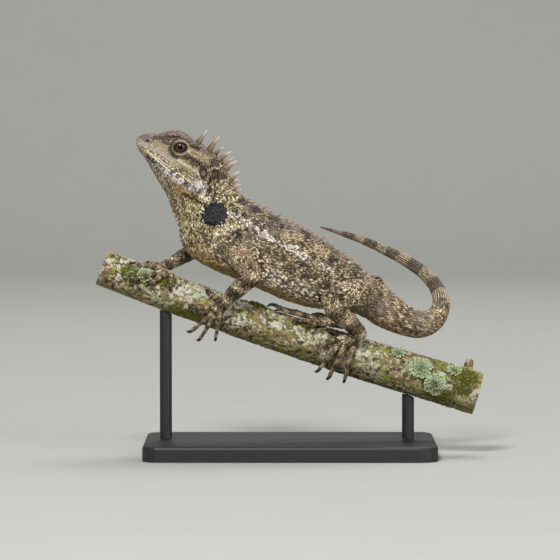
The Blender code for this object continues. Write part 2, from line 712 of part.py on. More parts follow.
def make_limb(limb, cutters, collection):
    """The three nodes of a limb, each with rounded joints cut across where it meets the next."""
    path = smooth_path(LIMBS[limb], LIMB_PER_SPAN)
    kind, side = limb.split("_")
    knots = (0, *JOINTS[limb], len(LIMBS[limb]) - 1)
    cuts = [None]
    for knot in JOINTS[limb]:
        before, place, after = (Vector(LIMBS[limb][knot + k][0]) for k in (-1, 0, 1))
        way = (place - before).normalized() + (after - place).normalized()
        cuts.append((place, way.normalized()))
    cuts.append(None)
    for i, part in enumerate(SEGMENTS[kind]):
        name = f"{part}_{side}"
        rows = path[knots[i] * LIMB_PER_SPAN : knots[i + 1] * LIMB_PER_SPAN + 1]
        node = new_object(name, loft(round_rings(rows, LIMB_SIDES), name), collection)
        pieces = []
        if i > 0:
            pieces.append(ball(name + "_root", rows[0][0], (rows[0][1],) * 3, collection))
        if i < 2:
            pieces.append(ball(name + "_end", rows[-1][0], (rows[-1][1],) * 3, collection))
        else:
            pieces.append(ball(name + "_palm", rows[-1][0], PALM_RADII[limb], collection))
            for number in range(len(DIGITS[limb])):
                line = digit_path(limb, number)
                line = [(rows[-1][0].lerp(line[0][0], 0.3), DIGIT_RADIUS * 1.15), *line]
                pieces.append(tube(f"{name}_digit_{number}", line, collection))
        combine(node, pieces, "UNION")
        cut = [copy_of(cutter, f"{name}_{cutter.name}", collection) for cutter in cutters]
        cut += blades_for(cuts[i], cuts[i + 1], collection)
        combine(node, cut, "DIFFERENCE")


def make_tail_length(name, first, last, collection, grow=0.0):
    """A length of the tail between two rows of its path, each end drawn back by half the gap."""
    path = smooth_path(TAIL, TAIL_PER_SPAN)
    last = len(path) - 1 if last is None else last
    rings = round_rings(path, TAIL_SIDES, grow)[first : last + 1]
    shorten = GAP / 2 - grow
    ahead = (path[first + 1][0] - path[first][0]).normalized()
    if first > 0:
        rings[0] = [p + ahead * shorten for p in rings[0]]
    if last < len(path) - 1:
        back = (path[last][0] - path[last - 1][0]).normalized()
        rings[-1] = [p - back * shorten for p in rings[-1]]
    return new_object(name, loft(rings, name), collection)


def make_trunk_and_tail(collection):
    """The head, neck and torso parted from one form, then the tail in four lengths."""
    whole = make_body("whole", collection)

    def across(row):
        top, bottom = BODY[row][:2]
        top, bottom = Vector((top[0], 0, top[1])), Vector((bottom[0], 0, bottom[1]))
        up = (top - bottom).normalized()
        return (top + bottom) / 2, Vector((up.z, 0.0, -up.x))

    planes = [across(row) for row in BODY_CUTS]
    names = ["head", "neck", "torso", "tail_root"]
    parts = []
    for i, name in enumerate(names):
        start = planes[i - 1] if i else None
        end = planes[i] if i < len(planes) else None
        part = copy_of(whole, name, collection)
        if end is None:
            tail = make_tail_length("tail_start", 0, TAIL_CUTS[0], collection)
            combine(part, [tail], "UNION")
        parts.append(combine(part, blades_for(start, end, collection), "DIFFERENCE"))
    bpy.data.objects.remove(whole, do_unlink=True)
    spines = crest_spines(collection) + throat_spines(collection)
    for i, part in enumerate(parts):
        mine = []
        for spine_row in spines:
            ends = spine_row[:2]
            if i and min((end - planes[i - 1][0]).dot(planes[i - 1][1]) for end in ends) < CLEAR:
                continue
            if part is not parts[-1]:
                place, way = planes[i]
                if max((end - place).dot(way) for end in ends) > -CLEAR:
                    continue
            mine.append(spine_row)
        spines = [spine_row for spine_row in spines if spine_row not in mine]
        combine(part, [thorn for _, _, thorn in mine], "UNION")
    for _, _, thorn in spines:
        bpy.data.objects.remove(thorn, do_unlink=True)
    finish_head(parts[0], collection)
    for name, first, last in zip(
        ("tail_bend", "tail_middle", "tail_tip"), TAIL_CUTS, (*TAIL_CUTS[1:], None)
    ):
        make_tail_length(name, first, last, collection)


def make_stand(bark_cutter, collection):
    """A flat base with rounded corners and two rods that end at the bark."""
    bm = bmesh.new()
    bmesh.ops.create_cube(bm, size=1.0)
    bmesh.ops.scale(bm, vec=(STAND_LONG, STAND_WIDE, STAND_THICK), verts=bm.verts)
    bmesh.ops.translate(bm, vec=(0.0, 0.0, STAND_THICK / 2), verts=bm.verts)
    upright = [e for e in bm.edges if abs(e.verts[0].co.z - e.verts[1].co.z) > STAND_THICK / 2]
    bmesh.ops.bevel(bm, geom=upright, offset=STAND_CORNER, segments=5, profile=0.5,
                    affect="EDGES", material=-1)
    rim = [e for e in bm.edges if all(v.co.z > STAND_THICK - 0.01 for v in e.verts)]
    bmesh.ops.bevel(bm, geom=rim, offset=STAND_EDGE, segments=2, profile=0.5,
                    affect="EDGES", material=-1)
    new_object("stand_base", mesh_from(bm, "stand_base"), collection, "stand")
    for name, x in ROD_AT.items():
        middle = branch_axis(x)[0]
        low = STAND_THICK + GAP
        length = middle.z - low
        piece = rod(name, Vector((x, 0.0, low + length / 2)), Matrix.Identity(3),
                    (ROD_RADIUS, ROD_RADIUS), length, collection, 20, "stand")
        combine(piece, [copy_of(bark_cutter, name + "_bark", collection)], "DIFFERENCE")


def main():
    clear_scene()
    model = bpy.data.collections.new("brown_pricklenape")
    helpers = bpy.data.collections.new("cutters")
    for group in (model, helpers):
        bpy.context.scene.collection.children.link(group)
    bark_cutter = make_branch("bark_cutter", helpers, GAP, knots=False)
    trunk_cutter = make_body("trunk_cutter", helpers, GAP)
    tail_cutter = make_tail_length("tail_cutter", 0, TAIL_CUTS[0], helpers, GAP)
    combine(trunk_cutter, [tail_cutter], "UNION")
    make_trunk_and_tail(model)
    for side in (-1.0, 1.0):
        make_eye(side, model)
    for limb in LIMBS:
        make_limb(limb, (trunk_cutter, bark_cutter), model)
    make_branch("perch_branch", model)
    make_stand(bark_cutter, model)
    for cutter in list(helpers.objects):
        bpy.data.objects.remove(cutter, do_unlink=True)
    for thing in model.objects:
        thing.data.shade_smooth()
        thing.data.set_sharp_from_angle(angle=math.radians(40.0))


main()
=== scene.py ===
"""Looks of a brown pricklenape lizard that grips a cut length of branch on a small display stand.

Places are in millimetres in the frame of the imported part: X runs from the snout towards the tail, Y away
from the side that is seen, Z up. Meshes are scaled to metres as the last step of their making.
"""

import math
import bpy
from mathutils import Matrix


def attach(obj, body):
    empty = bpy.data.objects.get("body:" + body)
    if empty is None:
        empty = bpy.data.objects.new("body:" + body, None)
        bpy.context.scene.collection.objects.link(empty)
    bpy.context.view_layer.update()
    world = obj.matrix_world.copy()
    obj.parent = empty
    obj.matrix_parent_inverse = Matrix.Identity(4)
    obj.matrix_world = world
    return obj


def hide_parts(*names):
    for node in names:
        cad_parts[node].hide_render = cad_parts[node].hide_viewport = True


bl_info = {
    "name": "Brown Pricklenape Model",
    "version": (1, 0, 0),
    "blender": (4, 5, 0),
    "location": "View3D > Sidebar > Pricklenape",
    "description": "Skin, scales, crest, eyes, claws, perch and studio for a life-size lizard model",
    "category": "Add Mesh",
}

import bmesh
import bpy
import numpy as np
from bpy.props import FloatProperty, FloatVectorProperty, IntProperty, PointerProperty
from mathutils import Matrix, Vector
from mathutils.bvhtree import BVHTree
from mathutils.kdtree import KDTree
from numpy.linalg import norm

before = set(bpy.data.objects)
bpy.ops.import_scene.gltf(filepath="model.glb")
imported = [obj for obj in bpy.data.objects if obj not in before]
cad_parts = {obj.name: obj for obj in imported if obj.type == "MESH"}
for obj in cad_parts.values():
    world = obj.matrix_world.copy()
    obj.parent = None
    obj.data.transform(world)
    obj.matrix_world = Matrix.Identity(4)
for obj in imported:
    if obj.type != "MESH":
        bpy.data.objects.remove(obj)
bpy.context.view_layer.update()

MM = 0.001

# The body from the snout to the root of the tail: the points on a section's upper and lower edge, the
# half width, how much it has the form of the head, and where the mouth lies between the edges.
BODY = np.array((
    (-50.6, 104.3, -50.5, 102.1, 1.3, 1, 0.4),
    (-49.6, 105.4, -49.7, 100.4, 2.7, 1, 0.4),
    (-47.2, 106.2, -48, 98, 3.9, 1, 0.375),
    (-43.8, 106.2, -46.2, 95, 5, 1, 0.395),
    (-40.3, 106.3, -44.3, 91.8, 6, 1, 0.41),
    (-36.3, 106.2, -42.3, 88.2, 6.9, 1, 0.42),
    (-32.3, 104.7, -40.6, 85.6, 7.8, 1, 0.44),
    (-28.4, 102.5, -39.3, 83.2, 8.6, 0.95, 0.475),
    (-25.1, 99.9, -38.3, 80.7, 8.6, 0.8, 0.54),
    (-22.2, 96.5, -37.3, 78.4, 8.2, 0.45, 0.56),
    (-20, 91.9, -36, 75.8, 7.7, 0.15, 0.55),
    (-18, 87.5, -35.2, 71, 8.3, 0, 0.5),
    (-13.6, 83.4, -33, 66.2, 9.2, 0, 0.5),
    (-7.9, 80.4, -25.4, 61.4, 9.8, 0, 0.5),
    (-2, 77.5, -16.4, 57.6, 10.3, 0, 0.5),
    (4, 74.4, -7.9, 53.8, 10.5, 0, 0.5),
    (9.9, 71.2, 0, 50.5, 10.3, 0, 0.5),
    (15.5, 67.3, 7.6, 48.6, 9.4, 0, 0.5),
    (20.5, 63.6, 14.2, 48, 8.3, 0, 0.5),
    (24.8, 60.1, 19.8, 47.2, 7.2, 0, 0.5),
    (29, 56.6, 23.8, 45.8, 6.2, 0, 0.5),
    (33, 51.6, 29, 44.2, 4.2, 0, 0.5),
))
# Half of a head section from the middle of its top to the middle of the throat: share of the half
# width, and height counted from the mouth to the top (above 0) or to the bottom (below 0).
HEAD_HALF = np.array((
    (0, 0.95), (0.24, 0.98), (0.46, 1), (0.63, 0.96), (0.69, 0.8), (0.7, 0.6),
    (0.79, 0.38), (0.94, 0.2), (0.99, 0.08), (0.89, 0), (0.98, -0.09), (0.96, -0.3),
    (0.78, -0.56), (0.4, -0.86), (0, -1),
))
ROOF = 0.2
THROAT_PINCH = 0.42
THROAT_FROM, THROAT_FADE = 65.0, 3.0
MOUTH_STEP = 9.0
MOUTH_CORNER = 8.0

TAIL = (
    ((24.5, 0, 53.6), 5.6), ((30.4, 0.3, 48.6), 5.7), ((36.6, 1.2, 44.9), 4.9),
    ((42.8, 4, 42.9), 4.3), ((47.7, 8.2, 44.3), 3.55), ((50.2, 12.6, 48.1), 2.8),
    ((49.9, 16.4, 52.6), 2.4), ((47.3, 19.4, 56.9), 2.15), ((42.9, 22, 60.8), 1.95),
    ((37.8, 23.6, 63.9), 1.75), ((33, 23.8, 66.3), 1.55), ((28.4, 22.8, 68.5), 1.35),
    ((23.8, 20.8, 70.4), 1.15), ((19.1, 18, 72.1), 0.9), ((14.4, 14.8, 73.6), 0.6),
    ((9.8, 11.4, 75), 0.3),
)

LIMBS = {
    "arm_left": (
        ((-22.5, -3, 73.5), 4.6), ((-18.6, -8.4, 67.8), 4), ((-14.6, -11.6, 63.2), 3.4),
        ((-12.9, -12.6, 60), 3.1), ((-15, -11.9, 57.2), 2.9), ((-18.4, -10.2, 53.9), 2.5),
        ((-21.2, -8.7, 50.9), 2), ((-23.6, -7.9, 48.4), 1.8),
    ),
    "arm_right": (
        ((-22, 3, 73.5), 4.4), ((-23.4, 9, 71.4), 3.7), ((-25.4, 12, 70), 3.2),
        ((-27.8, 12.8, 69.2), 2.9), ((-31, 11, 67.6), 2.7), ((-35.4, 7, 65.3), 2.4),
        ((-39.8, 2.2, 62.9), 1.9), ((-42.6, -0.6, 61.6), 1.7),
    ),
    "leg_left": (
        ((27, -2, 53), 4.7), ((22.2, -8.4, 53.7), 4.45), ((17.4, -13.2, 53.6), 4),
        ((14.2, -15.2, 52.2), 3.5), ((14.6, -14.4, 49), 3.3), ((17.4, -12.2, 46.2), 3.1),
        ((20.8, -9.8, 43), 2.6), ((23, -8, 40.3), 2.2), ((20.6, -7.9, 38.9), 2),
        ((17.2, -7.8, 38.6), 1.9),
    ),
    "leg_right": (
        ((27.4, 2, 54), 5.2), ((23.6, 8.6, 54.6), 4.5), ((19.4, 13.4, 54.4), 3.9),
        ((16.2, 15.6, 53), 3.4), ((16, 14.6, 50.2), 3.2), ((17.6, 11.6, 47.8), 2.9),
        ((19.2, 8.6, 45.6), 2.5), ((19.6, 5.4, 43.6), 2.1), ((16, 3.2, 43.5), 1.9),
        ((11.6, 1.4, 44.5), 1.8), ((9, 0.8, 45.4), 1.6),
    ),
}
PALM_RADII = {
    "arm_left": (2.3, 1.7, 2.3), "arm_right": (2.5, 2.2, 1.6),
    "leg_left": (2.6, 1.8, 2.1), "leg_right": (2.6, 2.2, 1.6),
}
# Each digit, the innermost first: its start along X, its turn round the branch from the top towards
# the side that is seen, its heading on the unrolled bark, and its length without the claw.
DIGITS = {
    "arm_left": (
        (-24.2, 66, -28, 4.6), (-25, 80, 22, 7), (-25, 97, 62, 9.6),
        (-24.3, 100, 80, 10.4), (-22.9, 99, 100, 7.6),
    ),
    "arm_right": (
        (-40.9, 34, 100, 4.2), (-42.9, 38, 57, 6.6), (-44.4, 38, 40, 9.6),
        (-45.2, 24, 16, 8.4), (-44.2, 4, -32, 5.6),
    ),
    "leg_left": (
        (15.2, 42, -3, 3.8), (14.6, 52, 46, 10.4), (15.2, 68, 72, 11.4),
        (16.8, 70, 84, 12.6), (19.6, 66, 94, 11.6),
    ),
    "leg_right": (
        (8.4, 20, 44, 5), (8.2, 15, 26, 8.6), (7.6, 6, 10, 13.6),
        (7.4, -6, -3, 16), (9.6, -16, -45, 8.4),
    ),
}
GAP = 0.3
DIGIT_RADIUS = 0.86
DIGIT_KNOTS = 6
CLAW_RADIUS = 0.52
CLAW_HOOK = 1.5
CLAW_ROOM = 0.15
# Stations of a claw: how far it has bent there, in degrees, and the share of its radius.
CLAW_BENDS = ((25, 1), (52, 0.8), (78, 0.5), (98, 0.16))
DIGIT_TAPER = 0.34
DIGIT_SUNK = 0.86
KNUCKLE, KNUCKLE_TURNS = 0.09, 12.6
DIGIT_ARCH, TIP_LIFT = 0.42, 0.75
LEAVE_BARK_AT = math.radians(118.0)

EYE_AT = Vector((-36.0, -3.7, 101.5))
EYE_RADIUS = 2.5
LID_RADIUS = 3.15
SLIT_LONG, SLIT_TALL = 2.2, 1.65
EAR_AT = Vector((-28.4, -7.1, 93.3))
EAR_LONG, EAR_TALL = 1.45, 1.9
NOSTRIL_AT = Vector((-46.8, -3.05, 103.7))

NAPE_SPINES = (
    ((-24.6, 99.2), (-21.8, 101.8)), ((-22.9, 97.6), (-19.2, 100.2)), ((-21.9, 95.6), (-18.6, 98.3)),
    ((-21.3, 94.1), (-16.8, 97.3)), ((-19.4, 90.9), (-16.4, 93.8)), ((-19.3, 89.3), (-16.6, 91.2)),
    ((-18.7, 87.6), (-15.9, 89.5)), ((-17.9, 86.1), (-16, 87.8)), ((-16.6, 84.9), (-14.5, 86.3)),
)
# Thorns on both sides of the head: root, tip and radius at the root.
FACE_SPINES = (
    ((-30.4, 4.7, 102.6), (-27.1, 5.6, 107.3), 0.95), ((-26.6, 4.6, 100.4), (-23.2, 5.8, 105.3), 1.05),
)
BROW = (
    ((-48.2, 1.7, 104.3), 0.45), ((-45.4, 3, 104.9), 0.7), ((-42, 3.9, 105.5), 0.95),
    ((-39, 4.5, 105.9), 1.3), ((-36.2, 4.8, 105.7), 1.35), ((-33.6, 4.9, 104.2), 1.15),
    ((-31.2, 4.6, 102), 0.6),
)
CREST_RISE = math.radians(16.0)

BRANCH_MID_Z = 39.4
BRANCH_SLOPE = -0.335
BRANCH_SAG = 0.00045
BRANCH_HALF = 62.0
BRANCH_RADIUS = 6.55
BRANCH_SWELL = 0.0105

FRAME_WIDE = 184.8
FRAME_MIDDLE = Vector((-3.3, 0.0, 57.75))


def tone(red, green, blue):
    """A colour given as 0 to 255 on a screen, in the linear values that shaders use."""
    return tuple(
        c / 255 / 12.92 if c / 255 <= 0.04045 else ((c / 255 + 0.055) / 1.055) ** 2.4
        for c in (red, green, blue)
    )


def colour_property(name, description, *rgb):
    return FloatVectorProperty(
        name=name, description=description, subtype="COLOR", size=3, min=0.0, max=1.0, default=tone(*rgb)
    )


def small_length(name, description, value, least=0.0):
    """A length of less than a few millimetres, given in millimetres."""
    return FloatProperty(
        name=name, description=description, default=value * MM, min=least * MM, unit="LENGTH", precision=5
    )


class SkinSettings(bpy.types.PropertyGroup):
    voxel: small_length("Voxel", "Size of the grid that fuses the skin", 0.34, 0.2)
    depth: small_length("Scale depth", "How far the skin lies inside the solids", 0.22)
    fold: small_length("Fold depth", "Depth of the folds of the throat and shoulder", 0.75)
    kept: FloatProperty(
        name="Faces kept", description="Share of the fused skin's faces that is kept", default=0.63,
        min=0.1, max=1.0,
    )


class ScaleSettings(bpy.types.PropertyGroup):
    head: small_length("Head scales", "Width of a scale on the crown", 0.5, 0.3)
    trunk: small_length("Trunk scales", "Width of a scale on the flank", 0.7, 0.4)
    limb: small_length("Limb scales", "Width of a scale on the upper arm and thigh", 0.64, 0.4)
    digit: small_length("Digit scales", "Width of a scale on the digits", 0.5, 0.3)
    keel: FloatProperty(
        name="Keel", description="Height of a keel as a share of the scale's width", default=0.24,
        min=0.0, max=0.6,
    )
    tip_rise: FloatProperty(
        name="Tip rise", description="How far a scale's tip stands off, as a share of its width",
        default=0.3, min=0.0, max=1.0,
    )
    seed: IntProperty(name="Seed", description="Start of the random draws", default=7)


class MarkingSettings(bpy.types.PropertyGroup):
    black: colour_property("Black", "The patch before the shoulder", 27, 26, 31)
    deep: colour_property("Deep", "The darkest scales", 42, 33, 25)
    dark: colour_property("Dark", "Dark scales", 84, 69, 49)
    brown: colour_property("Brown", "Common brown scales", 128, 109, 81)
    tan: colour_property("Tan", "Common pale scales", 182, 163, 129)
    cream: colour_property("Cream", "The palest scales", 238, 226, 198)
    grey: colour_property("Crown grey", "Top of the head", 137, 122, 117)
    lilac: colour_property("Jaw lilac", "Side of the lower jaw", 210, 200, 193)
    olive: colour_property("Throat olive", "Throat and breast", 138, 124, 76)
    ochre: colour_property("Belly ochre", "Belly and groin", 158, 132, 76)
    rust: colour_property("Rust", "Roots of the crest and upper arm", 166, 128, 104)


class EyeSettings(bpy.types.PropertyGroup):
    iris: colour_property("Iris", "Outer part of the iris", 62, 42, 27)
    ring: colour_property("Ring", "Paler ring round the pupil", 90, 61, 37)
    pupil: small_length("Pupil", "Radius of the pupil", 0.92)


class BarkSettings(bpy.types.PropertyGroup):
    bark: colour_property("Bark", "Bare bark", 126, 108, 84)
    # Painted shade in the sunken pits of the bark.
    pit: colour_property("Pits", "Dark pits in the bark", 52, 42, 30)
    crust: colour_property("Crust", "Crusts of white lichen", 214, 212, 200)
    film: colour_property("Film", "Green film under the branch", 108, 100, 54)
    leafy: colour_property("Leafy lichen", "Rosettes of leafy lichen", 158, 178, 132)
    moss: colour_property("Moss", "Tufts of moss", 142, 150, 54)
    tufts: IntProperty(name="Moss leaves", description="Number of leaves of moss", default=5200)


class StageSettings(bpy.types.PropertyGroup):
    tilt: FloatProperty(
        name="Camera tilt", description="How far the camera looks down", default=math.radians(2.5),
        subtype="ANGLE", unit="ROTATION",
    )
    distance: FloatProperty(
        name="Distance", description="Distance of the camera", default=1.3, unit="LENGTH"
    )
    floor: colour_property("Floor", "Floor and backdrop", 178, 179, 174)


def settings(name):
    return getattr(bpy.context.scene, "pricklenape_" + name)


def draws(number):
    """The source of random numbers of one step."""
    return np.random.default_rng(settings("scales").seed + number)


def mixed(one, two, share):
    """Colours between two, by a share for each row."""
    share = np.clip(np.asarray(share, float), 0.0, 1.0).reshape(-1, 1)
    return np.asarray(one) * (1 - share) + np.asarray(two) * share


def ramp(level, tones):
    """Colours along a list of tones, by a level from 0 to 1 for each row."""
    level = np.clip(level, 0.0, 1.0) * (len(tones) - 1)
    return rows_at(level, np.arange(len(tones)), np.array(tones))


def ease(low, high, value):
    """Goes smoothly from 0 to 1 as the value goes from low to high."""
    share = np.clip((value - low) / (high - low), 0.0, 1.0)
    return share * share * (3 - 2 * share)


def noise(points, size, seed=0):
    """Smooth noise from -1 to 1 at points in millimetres, in blobs about as wide as size."""
    spread = np.asarray(points, float) / size
    low = np.floor(spread).astype(np.int64)
    part = spread - low
    part = part * part * (3 - 2 * part)
    total = np.zeros(len(spread))
    for corner in range(8):
        step = np.array((corner & 1, corner >> 1 & 1, corner >> 2 & 1))
        weight = np.prod(np.where(step == 1, part, 1 - part), axis=1)
        cell = low + step
        mix = cell[:, 0] * 73856093 ^ cell[:, 1] * 19349663 ^ cell[:, 2] * 83492791 ^ (seed + 1) * 9176213
        mix = (mix * 1103515245 + 12345) & 0x7FFFFFFF
        mix = ((mix >> 13 ^ mix) * 1274126177) & 0x7FFFFFFF
        total += weight * (mix / 0x3FFFFFFF - 1.0)
    return total


def between(start, full, fade, end, value):
    """Rises from 0 to 1 from start to full, and falls back to 0 from fade to end."""
    return ease(start, full, value) * (1 - ease(fade, end, value))


def columns(*parts):
    """Numbers and arrays side by side, as the rows of one array."""
    return np.stack(np.broadcast_arrays(*parts), axis=1)


def around(one, two, turn, flat=1.0):
    """The ways at many turns from one way towards a second one, along which they may be flattened."""
    return np.outer(np.cos(turn), one) + np.outer(np.sin(turn) * flat, two)


def unit(rows):
    return rows / np.maximum(norm(rows, axis=-1, keepdims=True), 1e-9)


def gone_along(line):
    """How far along a line of places each of them lies."""
    return np.concatenate(([0.0], np.cumsum(norm(np.diff(line, axis=0), axis=1))))


def rows_at(at, marks, rows):
    """Rows of three numbers, given at rising marks, between them at the values at."""
    return np.stack([np.interp(at, marks, rows[:, k]) for k in range(3)], axis=1)


def tree_of(places):
    tree = KDTree(len(places))
    for index, place in enumerate(places):
        tree.insert(place, index)
    tree.balance()
    return tree


def curve_rows(rows, at):
    """Rows of numbers on a smooth curve through rows, at places counted in rows."""
    rows = np.asarray(rows, float)
    rows = np.vstack((2 * rows[0] - rows[1], rows, 2 * rows[-1] - rows[-2]))
    at = np.clip(np.atleast_1d(np.asarray(at, float)), 0, len(rows) - 3)
    i = np.minimum(at.astype(int), len(rows) - 4)
    t = (at - i)[:, None]
    a, b, c, d = rows[i], rows[i + 1], rows[i + 2], rows[i + 3]
    return 0.5 * (
        2 * b + (c - a) * t + (2 * a - 5 * b + 4 * c - d) * t**2 + (3 * b - a - 3 * c + d) * t**3
    )


PER_STEP = 4


def body_rings(at, grow=0.0):
    """Rings of the head, neck and trunk, each from the middle of the back down the near side, with
    PER_STEP points for each step of HEAD_HALF."""
    rows = curve_rows(BODY, at)
    top, bottom = columns(rows[:, 0], 0.0, rows[:, 1]), columns(rows[:, 2], 0.0, rows[:, 3])
    half, headness, mouth = rows[:, 4:5], np.clip(rows[:, 5:6], 0, 1), rows[:, 6:7]
    tall = norm(top - bottom, axis=1, keepdims=True)
    up = (top - bottom) / tall
    steps = (len(HEAD_HALF) - 1) * PER_STEP
    k = np.arange(steps + 1) / PER_STEP
    turn = math.pi * k / k[-1]
    trunk_high = (1 + np.cos(turn)) / 2
    trunk_side = np.sin(turn) * (1 - ROOF * np.maximum(np.cos(turn), 0))
    pinch = THROAT_PINCH * ease(THROAT_FROM - THROAT_FADE, THROAT_FROM + THROAT_FADE, rows[:, 3:4])
    trunk_side = trunk_side * (1 - pinch * (1 - trunk_high) ** 1.6)
    head_side, level = curve_rows(HEAD_HALF, k).T
    head_high = mouth + level * np.where(level > 0, 1 - mouth, mouth)
    across = headness * head_side + (1 - headness) * trunk_side
    high = headness * head_high + (1 - headness) * trunk_high
    lift = -grow + high * (tall + 2 * grow)
    near = bottom[:, None] + up[:, None] * lift[..., None]
    near[..., 1] = -across * (half + grow)
    far = near[:, -2:0:-1] * np.array((1, -1, 1))
    return np.concatenate((near, far), axis=1)


TUBE_STEPS = 24


class Tube:
    """A round form through knots of (place, radius), with rings that turn as little as possible."""

    def __init__(self, knots, sides=40, back=(0.0, 0.0, 1.0)):
        rows = [(*place, radius) for place, radius in knots]
        self.at = np.linspace(0, len(rows) - 1, TUBE_STEPS * (len(rows) - 1) + 1)
        line = curve_rows(rows, self.at)
        self.middle, self.radius = line[:, :3], np.maximum(line[:, 3], 0.1)
        self.ahead = unit(np.gradient(self.middle, axis=0))
        up = np.array(back)
        ups = []
        for forward in self.ahead:
            up = up - forward * (up @ forward)
            up = up / norm(up)
            ups.append(up)
        self.up = np.array(ups)
        self.turn = np.arange(sides) / sides * math.tau
        self.end = self.at[-1]

    def rings(self, at, grow=0.0):
        middle = rows_at(at, self.at, self.middle)
        up = unit(rows_at(at, self.at, self.up))
        forward = unit(rows_at(at, self.at, self.ahead))
        side = np.cross(forward, up)
        radius = (np.interp(at, self.at, self.radius) + grow)[:, None, None]
        cos, sin = np.cos(self.turn)[None, :, None], np.sin(self.turn)[None, :, None]
        return middle[:, None] + radius * (up[:, None] * cos + side[:, None] * sin)

    def whole(self, count, grow=0.0):
        """Rings at even steps from end to end."""
        return self.rings(np.linspace(0, self.end, count), grow)


def branch_axis(x):
    """The branch's middle, the way along it, its upward normal and its radius at one X."""
    middle = Vector((x, 0.0, BRANCH_MID_Z + BRANCH_SLOPE * x + BRANCH_SAG * x * x))
    along = Vector((1.0, 0.0, BRANCH_SLOPE + 2 * BRANCH_SAG * x)).normalized()
    return middle, along, Vector((-along.z, 0.0, along.x)), BRANCH_RADIUS + BRANCH_SWELL * x


def bark_place(x, round_by, lift):
    """A place above the bark, and the way out of it: round_by is the angle from the top."""
    middle, _, up, radius = branch_axis(x)
    out = up * math.cos(round_by) + Vector((0.0, -math.sin(round_by), 0.0))
    return middle + out * (radius + lift), out


def digit_knots(limb, number):
    """Knots of one digit over the bark and off it where it turns under, then those of its claw."""
    x, turn, heading, length = DIGITS[limb][number]
    turn, heading = math.radians(turn), math.radians(heading)
    step = length / DIGIT_KNOTS
    end_turn = turn + length * math.sin(heading) / (BRANCH_RADIUS + 1.0)
    leaves = abs(end_turn) > LEAVE_BARK_AT
    path = []
    ahead = None
    for i in range(DIGIT_KNOTS + 1):
        share = i / DIGIT_KNOTS
        radius = DIGIT_RADIUS * (1.0 - DIGIT_TAPER * share)
        radius *= 1.0 + KNUCKLE * math.cos(KNUCKLE_TURNS * share)
        if path and abs(turn) > LEAVE_BARK_AT:
            path.append((path[-1][0] + ahead * step, radius))
            continue
        lift = GAP + radius * DIGIT_SUNK + DIGIT_ARCH * math.sin(math.pi * min(share * 1.2, 1.0))
        if not leaves:
            lift += TIP_LIFT * share**3
        around = step * math.sin(heading) / (branch_axis(x)[3] + lift)
        along = -step * math.cos(heading) * branch_axis(x)[1].x
        place = bark_place(x, turn, lift)[0]
        ahead = (bark_place(x + along, turn + around, lift)[0] - place).normalized()
        path.append((place, radius))
        x += along
        turn += around
    tip = path[-1][0]
    middle, _, _, thick = branch_axis(tip.x)
    inward = middle - tip
    hook = CLAW_HOOK if leaves else min(CLAW_HOOK, inward.length - thick - GAP - CLAW_ROOM)
    inward = (inward - ahead * inward.dot(ahead)).normalized()
    claw = [(tip - ahead * 0.3, CLAW_RADIUS)]
    for bend, radius in CLAW_BENDS:
        bend = math.radians(bend)
        place = tip + ahead * (math.sin(bend) * CLAW_HOOK * 1.25)
        claw.append((place + inward * ((1 - math.cos(bend)) * hook * 0.9), CLAW_RADIUS * radius))
    palm = Vector(LIMBS[limb][-1][0])
    path = [(palm.lerp(path[0][0], 0.3), DIGIT_RADIUS * 1.15), *path]
    return path, claw, inward


def add_tube(bm, rings, taper=False):
    """Adds a closed tube through rings: a grid whose points are put on them and whose seam is
    merged. Where taper is set, the last ring closes in a point."""
    count, sides = rings.shape[:2]
    made = bmesh.ops.create_grid(bm, x_segments=count - 1, y_segments=sides, size=1.0)["verts"]
    for number, vert in enumerate(made):
        vert.co = rings[number % count, (number // count) % sides]
    if taper:
        for vert in made[count - 1 :: count]:
            vert.co = rings[-1].mean(axis=0)
    bmesh.ops.remove_doubles(bm, verts=made, dist=1e-5)
    kept = [vert for vert in made if vert.is_valid]
    rims = {edge for vert in kept for edge in vert.link_edges if edge.is_boundary}
    bmesh.ops.holes_fill(bm, edges=list(rims), sides=0)
    faces = list({face for vert in kept for face in vert.link_faces})
    bmesh.ops.recalc_face_normals(bm, faces=faces)
    return faces


def add_ball(bm, place, radii, across=24, rows=16):
    made = bmesh.ops.create_uvsphere(bm, u_segments=across, v_segments=rows, radius=1.0)["verts"]
    bmesh.ops.scale(bm, vec=radii, verts=made)
    bmesh.ops.translate(bm, vec=place, verts=made)
    return made


def in_metres(bm, name):
    bmesh.ops.scale(bm, vec=(MM, MM, MM), verts=bm.verts)
    mesh = bpy.data.meshes.new(name)
    bm.to_mesh(mesh)
    bm.free()
    return mesh


def new_object(name, data):
    made = bpy.data.objects.new(name, data)
    bpy.context.scene.collection.objects.link(made)
    return made


def give(thing, material):
    """Gives an object one material in place of all that it has."""
    thing.data.materials.clear()
    thing.data.materials.append(material)


def new_piece(name, mesh, material, replaced=()):
    """A finished piece that rides on the part's one body."""
    made = new_object(name, mesh)
    give(made, material)
    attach(made, "root")
    if replaced:
        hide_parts(*replaced)
    return made


def applied(thing):
    """The object's mesh with its modifiers applied."""
    bpy.context.view_layer.update()
    graph = bpy.context.evaluated_depsgraph_get()
    mesh = bpy.data.meshes.new_from_object(thing.evaluated_get(graph))
    old = thing.data
    thing.modifiers.clear()
    thing.data = mesh
    bpy.data.meshes.remove(old)
    return mesh


def rows_from(items, field):
    values = np.zeros(len(items) * 3, np.float32)
    items.foreach_get(field, values)
    return values.reshape(-1, 3).astype(float)


def vertex_places(mesh):
    return rows_from(mesh.vertices, "co") / MM


def vertex_normals(mesh):
    return rows_from(mesh.vertex_normals, "vector")


